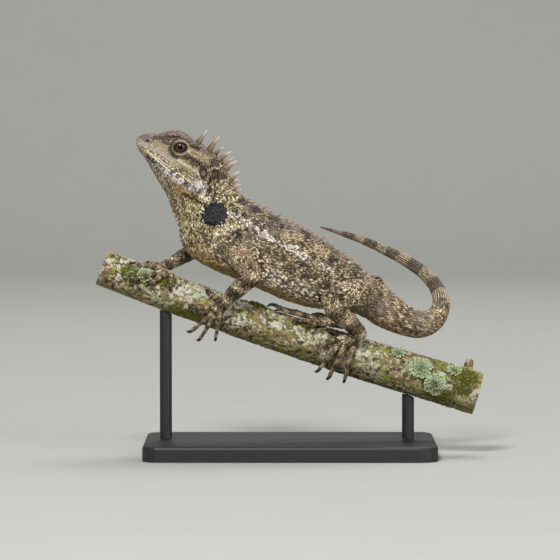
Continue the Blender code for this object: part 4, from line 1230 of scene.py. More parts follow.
def sizes_for(lattice, rng, keel, rise, longer=1.0, uneven=0.12, big=0.14):
    """Length, width, height and rise of the tip for the scales of a lattice."""
    pitch = lattice["pitch"] * (1 + uneven * (rng.random(len(lattice["at"])) * 2 - 1))
    row = np.clip(lattice["row"], 0.35 * pitch, 0.8 * pitch)
    large = 1 + LARGER * (rng.random(len(pitch)) > 1 - big)
    return columns(
        row * SCALE_LONG * longer * large, pitch * SCALE_WIDE * large, pitch * keel * large**2,
        pitch * rise * large**2,
    )


def lattice_uv(lattice, start, end, low=0.0, high=1.0):
    """A place for each scale on the unrolled tube: along it, then round it between low and high."""
    along = 0.01 + 0.98 * (lattice["at"] - start) / (end - start)
    return columns(along, low + (high - low) * (0.51 + 0.48 * lattice["round"]))


# All scales that have been laid, which the bare places and the skin take after.
COAT = []


def add_scales(plates, place, out, way, size, colour, uv):
    plates.append((place, out, way, size, colour, uv))
    COAT.append((place, colour, way, size))


def nearest_scales(places):
    """Colours, ways and sizes of all scales, which of them is nearest to each place, and how far off."""
    spots, colours, ways, sizes = (np.concatenate(values) for values in zip(*COAT))
    tree = tree_of(spots)
    found = [tree.find(place)[1:] for place in places]
    return colours, ways, sizes, np.array([row[0] for row in found]), np.array([row[1] for row in found])


# How far scales are moved out of their rows, as a share of their width, how far they lie off the
# skin, how many of the nearest ones tell how far it spreads them, and how much they grow for it.
SHAKE = 0.34
SCALE_LIFT = 0.04
NEIGHBOURS = 6
SPREAD_MOST = 1.5


def lay(plates, lattice, surface, colours, sizes, uv, reach=0.9, shake=None):
    """Settles the scales of a lattice on the skin and keeps those that lie on it. With shake, a source
    of random numbers, they are moved a little out of their rows."""
    place = lattice["place"]
    if shake is not None:
        place = place + (shake.random(place.shape) - 0.5) * SHAKE * lattice["pitch"][:, None]
    place, out, gap = surface.nearest(place)
    place = place + out * SCALE_LIFT
    good = gap < reach
    grown = sizes[good] * spread(place[good], lattice["pitch"][good])[:, None] ** (1.0, 1.0, 0.5, 0.5)
    add_scales(plates, place[good], out[good], lattice["way"][good], grown, colours[good], uv[good])


def spread(place, pitch):
    """How much wider apart than its pitch each place lies from the ones round it."""
    tree = tree_of(place)
    gaps = [np.mean([row[2] for row in tree.find_n(spot, NEIGHBOURS)]) for spot in place] / pitch
    return np.clip(gaps / np.median(gaps), 1.0, SPREAD_MOST)


def body_pitch(at):
    """Width of a scale along the body: fine on the snout, coarse on the trunk."""
    chosen = settings("scales")
    head, trunk = chosen.head / MM, chosen.trunk / MM
    widths = (0.82 * head, head, 1.1 * head, 0.75 * trunk, trunk, trunk, 0.9 * trunk)
    return np.interp(at, (0, 3, 7, 10, 13, 17, 21), widths)


def scale_material():
    return bpy.data.materials.get("scales") or marked_material("scales", 0.52, 0.1, ((0.16, 0.035),), 0.45)


PLATES_A_PIECE = 9900


def finish_plates(plates, name, form, rim_shade=RIM_SHADE, material=None):
    """Makes the pieces of one kind of scale, numbered where there are several."""
    plates = [np.concatenate(values) for values in zip(*plates)]
    count = len(plates[0])
    sets = np.array_split(np.arange(count), max(1, math.ceil(count / PLATES_A_PIECE)))
    for number, rows in enumerate(sets, 1):
        label = name if len(sets) == 1 else f"{name}_{number}"
        mesh = plate_mesh(label, [values[rows] for values in plates], form, rim_shade)
        new_piece(label, mesh, material or scale_material())


NOSTRIL_BARE = 0.62, 0.55
LID_BARE = 0.3


def off_eye(place):
    """How far places lie from the middle of the eye on their side."""
    return norm(np.abs(place) - np.abs(np.array(EYE_AT)), axis=1)


def bare_places(place):
    """Whether places lie on the lids, in an ear or in a nostril."""
    ear = reach_of(place, (EAR_AT.x, EAR_AT.z), EAR_LONG * 0.98, EAR_TALL * 0.98)
    nostril = reach_of(place, (NOSTRIL_AT.x, NOSTRIL_AT.z), *NOSTRIL_BARE)
    aside = np.abs(place[:, 1])
    return (off_eye(place) < LID_RADIUS + LID_BARE) | (ear < 1) & (aside > 4) | (nostril < 1) & (aside > 1)


# Places counted in rows of BODY: the first and last scales, the end of the head's and of the neck's.
BODY_SCALES = 0.12, len(BODY) - 1.6
HEAD_END, NECK_END = 8.6, 13
# Steps of HEAD_HALF over and under the mouth that the plates of the lips cover.
LIPS = -1.2, 1.75


class PRICKLENAPE_OT_body_scales(bpy.types.Operator):
    """Lay the scales of the head, neck and trunk"""

    bl_idname = "pricklenape.body_scales"
    bl_label = "Body scales"

    def execute(self, context):
        chosen = settings("scales")
        rng = draws(0)
        surface = Surface(the_skin())
        depth = settings("skin").depth / MM
        lattice = scale_lattice(lambda at: body_rings(at, -depth), *BODY_SCALES, body_pitch)
        place = lattice["place"]
        gap = lattice["index"] * (len(HEAD_HALF) - 1) - MOUTH_STEP
        bare = bare_places(place) | (gap > LIPS[0]) & (gap < LIPS[1]) & (lattice["at"] < MOUTH_CORNER)
        lattice = keep_rows(lattice, ~bare)
        colours = body_colours(lattice, chosen.seed)
        at, beside = lattice["at"], np.abs(lattice["round"])
        neck = ease(8.0, 10.0, at)
        throat = ease(0.55, 0.85, beside) * between(5.0, 7.0, 10.8, 12.2, at)
        keel = chosen.keel * (0.45 + 0.55 * neck)
        belly = ease(0.72, 0.9, beside) * ease(12.0, 13.5, at)
        front = ease(0.78, 0.92, beside) * between(5.8, 7.2, 10.8, 11.8, at)
        rise = chosen.tip_rise * (0.3 + 0.8 * neck + 1.6 * throat + 1.5 * front - 0.8 * belly)
        sizes = sizes_for(lattice, rng, keel, rise, 1.0 + 0.55 * throat + 0.7 * front - 0.15 * (1 - neck))
        uv = lattice_uv(lattice, *BODY_SCALES)
        for name, form, rim_shade, rows in (
            ("scales_head", SHIELD, HEAD_RIM_SHADE, at < HEAD_END),
            ("scales_neck", KEELED, RIM_SHADE, (at >= HEAD_END) & (at < NECK_END)),
            ("scales_trunk", KEELED, RIM_SHADE, at >= NECK_END),
        ):
            plates = []
            lay(plates, keep_rows(lattice, rows), surface, colours[rows], sizes[rows], uv[rows], shake=rng)
            finish_plates(plates, name, form, rim_shade)
        return {"FINISHED"}


# Scales in a whorl of the tail, from each of these knots of TAIL on.
WHORLS = (5.0, 20), (8.0, 16), (10.5, 12), (12.8, 8)


class PRICKLENAPE_OT_tail_scales(bpy.types.Operator):
    """Lay the keeled scales of the tail in whorls"""

    bl_idname = "pricklenape.tail_scales"
    bl_label = "Tail scales"

    def execute(self, context):
        chosen = settings("scales")
        rng = draws(1)
        surface = Surface(the_skin())
        tail = Tube(TAIL, 48)
        trunk = chosen.trunk / MM

        def pitch(at):
            radius = np.interp(at, tail.at, tail.radius)
            count = np.round(math.tau * radius / (trunk * 0.62 + 0.09 * radius))
            for start, whorl in WHORLS:
                count = np.where(at < start, count, whorl)
            return math.tau * radius / count * 0.999

        lattice = scale_lattice(lambda at: tail.rings(at, -0.1), 0.3, tail.end, pitch, 0.72, WHORLS[0][0])
        colours = tail_colours(lattice, chosen.seed)
        sizes = sizes_for(lattice, rng, chosen.keel * 1.5, chosen.tip_rise * 0.45, 1.0, 0.05, 0.0)
        plates = []
        lay(plates, lattice, surface, colours, sizes, lattice_uv(lattice, 0, tail.end), 0.7)
        finish_plates(plates, "scales_tail", KEELED)
        return {"FINISHED"}


class PRICKLENAPE_OT_limb_scales(bpy.types.Operator):
    """Lay the scales of the limbs and digits, and make the claws"""

    bl_idname = "pricklenape.limb_scales"
    bl_label = "Limb scales and claws"

    def execute(self, context):
        chosen = settings("scales")
        rng = draws(2)
        surface = Surface(the_skin())
        limb_size, digit_size = chosen.limb / MM, chosen.digit / MM
        claws = bmesh.new()
        for order, (limb, tube, digits, claw_lines) in enumerate(limb_tubes()):
            kind = limb.split("_")[0]
            end = tube.end

            def pitch(at):
                return np.interp(at, (0, end * 0.6, end), (limb_size, limb_size * 0.85, digit_size * 1.1))

            lattice = scale_lattice(lambda at: tube.rings(at, -0.2), 0.05, end, pitch)
            root = 1 - ease(0.6, 2.2, lattice["at"])[:, None]
            lattice["way"] = unit(lattice["way"]) * (1 - root) + np.array(TRUNK_WAY) * root
            sizes = sizes_for(lattice, rng, chosen.keel, chosen.tip_rise * 0.8)
            plates = []
            lay(plates, lattice, surface, limb_colours(lattice, kind, order), sizes,
                lattice_uv(lattice, 0, end, 0.0, 0.5), 1.1, rng)
            for number, digit in enumerate(digits):
                lattice = scale_lattice(
                    lambda at: digit.rings(at, -0.08), 0.4, digit.end, lambda at: 0 * at + digit_size, 0.8
                )
                sizes = sizes_for(lattice, rng, chosen.keel * 0.9, chosen.tip_rise * 0.6, 0.85, 0.05)
                low = 0.5 + 0.1 * number
                lay(plates, lattice, surface, limb_colours(lattice, "digit", order * 5 + number), sizes,
                    lattice_uv(lattice, 0, digit.end, low, low + 0.09), 0.6)
                knots, inward = claw_lines[number]
                claw = Tube(knots, 12, tuple(-inward))
                add_tube(claws, claw.whole(14), True)
            finish_plates(plates, "scales_" + limb, KEELED)
        mesh = in_metres(claws, "claws")
        mesh.shade_smooth()
        new_piece("claws", mesh, claw_material())
        return {"FINISHED"}


CLAW_TONES = tone(22, 17, 14), tone(66, 54, 40)


def claw_material():
    """Dark horn, glossier and paler in streaks."""
    material, shader = principled("claw horn", 0.28)
    colour = two_tones(material, noise_node(material, 0.5, 2.0), *CLAW_TONES, 0.35, 0.75)
    link(material, colour, shader.inputs["Base Color"])
    return material


def thorn_rings(root, tip, radius, bow, flat, rings=8, sides=10):
    """Rings of a thorn that bows back and tapers to a point, flattened across Y."""
    root, tip = np.array(root, float), np.array(tip, float)
    length = norm(tip - root)
    ahead = (tip - root) / length
    side = unit(np.cross(ahead, (0.0, 1.0, 0.0)))
    over = np.cross(side, ahead)
    turn = np.arange(sides) / sides * math.tau
    cross = around(side, over, turn, flat)
    out = []
    for t in np.linspace(-0.25, 1.0, rings):
        middle = root + ahead * length * t + side * (bow * length * 4 * max(t, 0) * (1 - t))
        size = radius * (1.0 - max(t, 0.0)) ** 0.92 * (1.0 + 0.1 * min(t, 0.0))
        out.append(middle + cross * max(size, 0.02))
    return np.array(out)


# Spines of the back by X: their length, their spacing and their radius at the root. Then how their
# lengths take turns, how deep their roots lie, how far they bow and how flat they are.
CREST_X = (-14.8, -8, 6, 20, 30, 39.5)
CREST_LENGTHS = (3.6, 3.7, 3.2, 3, 2.7, 1.5)
CREST_GAPS = (2.1, 2.2, 2, 1.8, 1.6, 1.4)
CREST_RADII = (0.47, 0.48, 0.46, 0.44, 0.4, 0.3)
CREST_TURNS = (0.82, 1.1, 0.9, 1.0)
CREST_SUNK, CREST_BOW, CREST_FLAT = 0.25, 0.1, 0.75
ABOVE_ALL = 130.0


def back_thorns(surface, rng):
    """Thorns along the ridge of the back and the root of the tail."""
    xs = np.arange(CREST_X[0], CREST_X[-1], 0.05)
    ys = np.interp(xs, [place[0] for place, _ in TAIL[:4]], [place[1] for place, _ in TAIL[:4]])
    line, outs, _ = surface.cast(columns(xs, ys, ABOVE_ALL), (0.0, 0.0, -1.0))
    gone = gone_along(line)
    thorns, mark, number = [], 0.0, 0
    while mark < gone[-1]:
        i = np.searchsorted(gone, mark)
        root, out = line[i], unit(outs[i] * (1.0, 0.0, 1.0))
        length = np.interp(root[0], CREST_X, CREST_LENGTHS) * CREST_TURNS[number % 4]
        length *= rng.uniform(0.72, 1.15)
        rise = CREST_RISE + rng.uniform(-0.22, 0.18)
        ahead = np.array((math.cos(rise), rng.uniform(-0.12, 0.12), math.sin(rise)))
        tip = root + ahead * length
        radius = np.interp(root[0], CREST_X, CREST_RADII)
        thorns.append((root - out * CREST_SUNK, tip, radius, CREST_BOW, CREST_FLAT))
        mark += np.interp(root[0], CREST_X, CREST_GAPS) * rng.uniform(0.7, 1.3)
        number += 1
    return thorns


class PRICKLENAPE_OT_crest(bpy.types.Operator):
    """Make the thorns of the brow, temple, nape and back"""

    bl_idname = "pricklenape.crest"
    bl_label = "Crest"

    def execute(self, context):
        tones = settings("marking")
        rng = draws(3)
        bm = bmesh.new()
        thorns = []
        for root, tip in NAPE_SPINES:
            root, tip = np.array((root[0], 0.0, root[1])), np.array((tip[0], 0.0, tip[1]))
            length = norm(tip - root)
            thorns.append((root, tip, 0.4 + 0.14 * length, 0.04, 0.62))
        for root, tip, radius in FACE_SPINES:
            for side in (-1, 1):
                thorns.append((mirrored(root, side), mirrored(tip, side), radius * 1.1, 0.02, 0.8))
        heads = len(thorns)
        thorns += back_thorns(Surface(the_skin()), rng)
        which = []
        for number, (root, tip, radius, bow, flat) in enumerate(thorns):
            before = len(bm.verts)
            for face in add_tube(bm, thorn_rings(root, tip, radius, bow, flat), True):
                face.smooth = True
            which += [number] * (len(bm.verts) - before)
        which = np.array(which)
        roots = np.array([tuple(thorn[0]) for thorn in thorns])[which]
        ways = np.array([tuple(thorn[1]) for thorn in thorns])[which] - roots
        mesh = in_metres(bm, "crest")
        places = vertex_places(mesh)
        along = np.clip(np.sum((places - roots) * ways, axis=1) / np.sum(ways * ways, axis=1), 0, 1)
        colours = ramp(along, (tones.dark, tones.rust, tones.rust, tones.tan, tones.tan))
        pale = ramp(along, (tones.dark, tones.brown, tones.grey, tones.lilac, tones.cream))
        whiter = rng.random(len(thorns))[which]
        colours = mixed(colours, pale, np.where(which < heads, 0.5 + 0.5 * whiter, 0.2 + 0.3 * whiter))
        colours *= (0.86 + 0.15 * noise(places, 0.6, 9))[:, None]
        paint(mesh, colours)
        new_piece("crest", mesh, scale_material())
        return {"FINISHED"}


def on_body(at, k, side, grow):
    """Places on the head at rows at, k steps of HEAD_HALF down from the crown, on one side."""
    rings = body_rings(at, grow)
    count = rings.shape[1]
    index = np.full(len(at), k * PER_STEP if side < 0 else count - k * PER_STEP)
    low = np.floor(index).astype(int)
    part = (index - low)[:, None]
    rows = np.arange(len(at))
    return rings[rows, low % count] * (1 - part) + rings[rows, (low + 1) % count] * part


def spaced(line, step):
    """Places at even steps along a line, the way along it, and the share gone at each."""
    gone = gone_along(line)
    count = max(2, round(gone[-1] / step))
    marks = (np.arange(count) + 0.5) * gone[-1] / count
    way = rows_at(marks + 0.1, gone, line) - rows_at(marks - 0.1, gone, line)
    return rows_at(marks, gone, line), way, marks / gone[-1]


def side_uv(place):
    """A place on the body as seen from the side, with the two sides apart."""
    u = 0.01 + 0.48 * np.clip((place[:, 0] + 54.0) / 108.0, 0, 1) + 0.5 * (place[:, 1] > 0)
    return columns(u, np.clip((place[:, 2] - 20.0) / 90.0, 0.01, 0.99))


# Rows of plates along the mouth: steps down the head, last row of BODY, length, width and height.
LIP_ROWS = ((8.3, 7.9, 1.45, 1.05, 0.24), (9.72, 7.9, 1.5, 1.05, 0.24), (10.5, 7.2, 1.2, 1, 0.24))
LIP_START = 0.25
LIP_SMALLER = ((0, 1, 2, 3, 5, 8), (0.38, 0.48, 0.62, 0.78, 1, 0.95))
LIP_DARK_FROM = (0.82, 0.8, 0.72)
MOUTH_LINE = ((-50.3, 102.6), (-44.5, 99.3), (-39.2, 96.3), (-34.65, 93.6), (-30.6, 91.2))
LID_START, LID_STEP = 0.16, 0.36
GRANULE = (0.43, 0.4, 0.13, 0.0)
BROW_STEP, BROW_SHAKE = 0.62, 0.22
BROW_TURNS = (-30, -2, 26, 52, 78, 104)


def lip_plates(surface, rng):
    tones = settings("marking")
    depth = settings("skin").depth / MM
    lips = []
    for row, (k, end, long, wide, high) in enumerate(LIP_ROWS):
        for side in (-1, 1):
            at = np.linspace(LIP_START, end, 120)
            place, way, share = spaced(on_body(at, k, side, -depth), long)
            smaller = np.interp(LIP_START + share * (end - LIP_START), *LIP_SMALLER)
            place, out, _ = surface.nearest(place)
            count = len(place)
            sizes = columns(long * 1.03, wide * smaller, high * smaller, 0.0)
            draw = rng.random(count)
            front = ease(0.0, 5.0, -40.0 - place[:, 0])
            lilac = (0.5 * front, 0.25 * front, 1 - ease(0.0, 1.5, -43.5 - place[:, 0]))[row]
            colours = mixed(tones.tan, tones.lilac, lilac)
            colours = mixed(colours, tones.cream, 0.45 * draw)
            colours = mixed(colours, tones.dark, 0.85 * (rng.random(count) > LIP_DARK_FROM[row]))
            add_scales(lips, place, out, way, sizes, colours, side_uv(place))
    return lips


def lid_granules(surface, rng):
    tones = settings("marking")
    lids = []
    rings = (tones.brown, tones.lilac, tones.lilac, tones.deep, tones.tan, tones.brown, tones.brown)
    for side in (-1, 1):
        for ring, base in enumerate(rings):
            long, tall = (size + LID_START + LID_STEP * ring for size in (SLIT_LONG, SLIT_TALL))
            count = round(math.pi * (long + tall) / (0.42 + 0.02 * ring))
            turn = (np.arange(count) + 0.5 * (ring % 2)) * math.tau / count
            x, z = np.cos(turn), np.sin(turn)
            starts = columns(EYE_AT.x + x * long, side * 30.0, EYE_AT.z + z * tall)
            place, out, _ = surface.cast(starts, (0.0, -side, 0.0))
            way = columns(x, 0.0, z)
            colours = mixed(base, tones.brown, 0.05 + 0.35 * rng.random(count))
            if 0 < ring < 3:
                colours = mixed(colours * (1.4, 1.24, 1.12), tones.tan, 0.3 * ease(-0.2, 0.5, z))
                colours = mixed(colours, tones.dark, 0.6 * (ring - 0.4) * ease(0.3, 0.9, -x))
            if ring > 3:
                dark_from = 0.72 - 0.35 * (-x - z > 0.6)
                colours = mixed(colours, tones.deep, 0.8 * (rng.random(count) > dark_from))
            sizes = np.tile(GRANULE, (count, 1))
            add_scales(lids, place, out, way, sizes, colours, side_uv(place))
    return lids


def brow_shields(surface, rng):
    tones = settings("marking")
    brow = []
    for side in (-1, 1):
        for turn in BROW_TURNS:
            turn = math.radians(turn)
            spread = Vector((0.0, side * math.sin(turn), math.cos(turn)))
            knots = [tuple(mirrored(place, side) + spread * radius) for place, radius in BROW]
            line = curve_rows(knots, np.linspace(0.6, len(BROW) - 1.4, 60))
            place, way, share = spaced(line, BROW_STEP)
            place = place + (rng.random(place.shape) - 0.5) * BROW_SHAKE
            place, out, _ = surface.nearest(place)
            count = len(place)
            wide = np.interp(share, (0, 0.5, 1), (0.48, 0.74, 0.58)) * (0.85 + 0.3 * rng.random(count))
            sizes = columns(1.35 * wide, 1.1 * wide, 0.17 * wide, 0.16 * wide)
            colours = mixed(tones.grey, tones.brown, 0.1 + 0.3 * rng.random(count))
            colours = colours * (0.66 + 0.66 * rng.random((count, 1)))
            colours = mixed(colours, tones.dark, 0.6 * (rng.random(count) > 0.9))
            add_scales(brow, place, out, way, sizes, colours, side_uv(place))
    return brow


class PRICKLENAPE_OT_face_plates(bpy.types.Operator):
    """Lay the plates of the lips and brow and the granules of the lids"""

    bl_idname = "pricklenape.face_plates"
    bl_label = "Lips, lids and brow"

    def execute(self, context):
        rng = draws(4)
        surface = Surface(the_skin())
        finish_plates(lip_plates(surface, rng), "scales_lips", BRICK)
        finish_plates(lid_granules(surface, rng), "scales_lids", SHIELD)
        finish_plates(brow_shields(surface, rng), "scales_brow", SHIELD)
        return {"FINISHED"}


def apart(places, gaps, order):
    """Which of the places to keep, taken in order, so that no two are nearer than their gap."""
    kept, cells = [], {}
    size = gaps.max()
    for index in order:
        place = places[index]
        cell = tuple(np.floor(place / size).astype(int))
        near = [
            other for x in (-1, 0, 1) for y in (-1, 0, 1) for z in (-1, 0, 1)
            for other in cells.get((cell[0] + x, cell[1] + y, cell[2] + z), ())
        ]
        if all(norm(places[other] - place) > gaps[index] for other in near):
            kept.append(index)
            cells.setdefault(cell, []).append(index)
    return np.array(kept, int)


# How far from the next scale the skin is bare, how far apart fillers lie, both in widths of a scale,
# and how large they are beside the scales that they are like.
BARE_FROM, FILLERS_APART = 0.72, 0.78
FILLER_SIZES = (0.95, 0.95, 0.9, 0.8)


class PRICKLENAPE_OT_filler_scales(bpy.types.Operator):
    """Close the places that the rows of scales left bare, with scales like the nearest ones"""

    bl_idname = "pricklenape.filler_scales"
    bl_label = "Filler scales"

    def execute(self, context):
        rng = draws(6)
        mesh = the_skin()
        places, normals = vertex_places(mesh), vertex_normals(mesh)
        colours, ways, sizes, index, gap = nearest_scales(places)
        wide = sizes[index, 1]
        mouth = (off_line(places, MOUTH_LINE) < 0.5) & (places[:, 2] > 88)
        bare = (gap > BARE_FROM * wide) & ~bare_places(places) & ~mouth
        chosen = np.flatnonzero(bare)
        kept = chosen[apart(places[chosen], FILLERS_APART * wide[chosen], rng.permutation(len(chosen)))]
        near = index[kept]
        shades = colours[near] * (0.85 + 0.3 * rng.random((len(kept), 1)))
        head = (places[kept, 0] < -24) & (places[kept, 2] > 84)
        for name, form, rim_shade, rows in (
            ("filler_head", SHIELD, HEAD_RIM_SHADE, head), ("filler", KEELED, RIM_SHADE, ~head),
        ):
            fillers, place = [], places[kept][rows]
            add_scales(
                fillers, place, normals[kept][rows], ways[near][rows], sizes[near][rows] * FILLER_SIZES,
                shades[rows], side_uv(place),
            )
            finish_plates(fillers, "scales_" + name, form, rim_shade)
        return {"FINISHED"}


# Tones of the bare skin: painted shade between scales, on the rim of the lids and in the crease of the
# mouth, then the ear's drum and the painted shade in the ear.
SHADE_BETWEEN_SCALES, LID_RIM_SHADE, MOUTH_SHADE = tone(52, 42, 26), tone(44, 34, 26), tone(38, 30, 24)
DRUM, EAR_SHADE = tone(112, 90, 74), tone(30, 23, 18)


class PRICKLENAPE_OT_markings(bpy.types.Operator):
    """Give the skin the markings of the scales that lie on it, with painted shade between them, on the
    rims of the lids, in the mouth and in the ear
    """

    bl_idname = "pricklenape.markings"
    bl_label = "Skin markings"

    def execute(self, context):
        mesh = the_skin()
        places = vertex_places(mesh)
        shades, _, _, index, gap = nearest_scales(places)
        # The skin between the scales is darkened as painted shade.
        colours = mixed(shades[index] * 0.38, SHADE_BETWEEN_SCALES, 0.35)
        head = places[:, 0] < -20
        # Painted shade on the bare rim of the lids and in the crease of the mouth.
        lid = head & (off_eye(places) < 3.2) & (gap > 0.3)
        colours = np.where(lid[:, None], LID_RIM_SHADE, colours)
        mouth = head & (off_line(places, MOUTH_LINE) < 0.9) & (gap > 0.38)
        colours = np.where(mouth[:, None], MOUTH_SHADE, colours)
        reach = reach_of(places, (EAR_AT.x, EAR_AT.z), EAR_LONG, EAR_TALL)
        ear = (reach < 1.15) & (np.abs(places[:, 1]) > 4)
        # The ear's drum gets painted shade towards its rim and its top.
        drum = mixed(DRUM, EAR_SHADE, ease(0.3, 0.8, reach))
        drum = mixed(drum, EAR_SHADE, 0.8 * ease(0.2, 1.2, places[:, 2] - EAR_AT.z))
        colours = np.where(ear[:, None], drum, colours)
        colours *= (1 + 0.1 * noise(places, 0.5, 21))[:, None]
        paint(mesh, colours)
        return {"FINISHED"}


# The pupil, what the lids shade, how dark the iris is at its rim, and how uneven its rings are.
PUPIL, EYE_EDGE = (0.001, 0.001, 0.001), (0.012, 0.009, 0.007)
IRIS_RIM = 0.35
IRIS_JITTER = 0.1


def eye_material():
    """Rings of colour round the middle of each eye as seen from the side, under a clear coat."""
    chosen = settings("eyes")
    material, shader = principled("eye", 0.3, 0.08)
    shader.inputs["Coat Weight"].default_value = 0.3
    shader.inputs["Coat Roughness"].default_value = 0.02

    def vector_math(operation, *values):
        return add_node(material, "VectorMath", dict(enumerate(values)), operation=operation).outputs

    place = add_node(material, "TexCoord").outputs["Object"]
    shifted = vector_math("SUBTRACT", place, EYE_AT * MM)["Vector"]
    flat = vector_math("MULTIPLY", shifted, (1.0, 0.0, 1.0))["Vector"]
    reach = vector_math("LENGTH", flat)["Value"]
    rays = vector_math("NORMALIZE", flat)["Vector"]
    inputs = {"Vector": rays, "Scale": 9.0, "Detail": 4.0, "Roughness": 0.7}
    streaks = add_node(material, "TexNoise", inputs).outputs["Fac"]
    inputs = {0: streaks, 1: IRIS_JITTER, 2: -IRIS_JITTER / 2}
    jitter = add_node(material, "Math", inputs, operation="MULTIPLY_ADD").outputs["Value"]
    inputs = {0: reach, 1: 1.0 / (EYE_RADIUS * MM), 2: jitter}
    level = add_node(material, "Math", inputs, operation="MULTIPLY_ADD").outputs["Value"]
    colours = add_node(material, "ValToRGB", {"Fac": level})
    pupil = chosen.pupil / MM / EYE_RADIUS
    stops = colours.color_ramp.elements
    iris, ring = tuple(chosen.iris), tuple(chosen.ring)
    deep = tuple(c * IRIS_RIM for c in iris)
    stops[0].position, stops[0].color = pupil - 0.01, (*PUPIL, 1.0)
    stops[1].position, stops[1].color = 0.95, (*EYE_EDGE, 1.0)
    for position, colour in (
        (pupil + 0.02, ring), (pupil + 0.05, ring), (pupil + 0.12, iris), (0.77, iris), (0.87, deep),
    ):
        stops.new(position).color = (*colour, 1.0)
    shine = add_node(material, "MapRange", {"Value": streaks, "To Min": 0.6, "To Max": 1.5})
    colour = multiplied(material, colours.outputs["Color"], shine.outputs["Result"])
    link(material, colour, shader.inputs["Base Color"])
    return material


class PRICKLENAPE_OT_eyes(bpy.types.Operator):
    """Make the eyeballs"""

    bl_idname = "pricklenape.eyes"
    bl_label = "Eyes"

    def execute(self, context):
        material = eye_material()
        for name, side in (("left", -1), ("right", 1)):
            bm = bmesh.new()
            add_ball(bm, mirrored(EYE_AT, side), (EYE_RADIUS,) * 3, 64, 40)
            mesh = in_metres(bm, "eyeball_" + name)
            mesh.shade_smooth()
            new_piece("eyeball_" + name, mesh, material, ("eye_" + name,))
        return {"FINISHED"}


BARK_ROWS, BARK_SIDES = 480, 168
BARK_CREASE = math.radians(50.0)
END_RINGS = (0.05, 0.35, 0.7, 0.94)
BARK_DEEPEST, BARK_HIGHEST = -0.55, 0.12
STUB = ((0, 1.9), (3.5, 1.6), (5.6, 1.3))
STUB_AT, STUB_TURN, STUB_SUNK = 57.0, math.radians(-20.0), -2.5


def bark_heights(places):
    """Height of the bark over the plain tube, how much of each place is crust, and how much a pit."""
    long = places * (0.3, 1.0, 1.0)
    ridges = 1 - 2 * np.abs(noise(long, 1.7, 31)) + 0.5 * (1 - 2 * np.abs(noise(long, 0.8, 32)))
    broad, rough = noise(places, 7.0, 33), noise(places, 0.75, 36)
    crust = 0.6 * noise(places, 5.0, 34) + 0.65 * noise(places, 1.5, 35) + 0.85 * rough
    crust += 0.6 * noise(places, 0.35, 37)
    crust = ease(0.02, 0.22, crust)
    pit = ease(0.28, 0.55, noise(places, 1.1, 43) + 0.55 * noise(places, 0.45, 44))
    height = -0.2 + 0.12 * ridges + 0.14 * broad + 0.09 * crust + 0.12 * rough - 0.24 * pit
    return np.clip(height, BARK_DEEPEST, BARK_HIGHEST), crust, pit


BARE_WOOD, OLD_CRUST, GREEN_DUST = tone(150, 112, 76), tone(188, 168, 142), tone(132, 136, 52)
CUT_WOOD = np.array(tone(176, 148, 108))


def bark_colours(places, crust, pit):
    chosen = settings("bark")
    middles = BRANCH_MID_Z + BRANCH_SLOPE * places[:, 0] + BRANCH_SAG * places[:, 0] ** 2
    bottom = ease(-0.1, 0.8, -(places[:, 2] - middles) / BRANCH_RADIUS)
    grain = noise(places * (0.3, 1.0, 1.0), 0.9, 38) + 0.8 * noise(places, 0.4, 39)
    damp = ease(5.0, 50.0, places[:, 0])
    film = 0.42 + 0.22 * damp + 0.8 * noise(places, 3.4, 40)
    colours = mixed(chosen.bark, chosen.film, film)
    colours = mixed(colours, BARE_WOOD, 0.6 * ease(0.35, 0.7, noise(places, 2.4, 45)))
    colours = mixed(colours, chosen.film, 0.5 * bottom)
    colours = colours * np.clip(1 + 0.42 * grain, 0.2, 2.0)[:, None]
    pale = mixed(chosen.crust, chosen.leafy, 0.18 + 0.5 * noise(places, 3.1, 41))
    pale = mixed(pale, OLD_CRUST, 0.5 * ease(0.1, 0.6, noise(places, 2.2, 46)))
    pale *= (0.86 + 0.3 * noise(places, 0.4, 42))[:, None]
    colours = mixed(colours, pale, crust * (0.88 - 0.26 * damp) * (1 - 0.75 * bottom))
    dust = ease(0.3, 0.52, noise(places, 1.6, 47) + 0.6 * noise(places, 0.4, 48))
    colours = mixed(colours, GREEN_DUST, 0.6 * dust)
    # The sunken pits are darkened as painted shade.
    return mixed(colours, chosen.pit, 0.85 * pit)


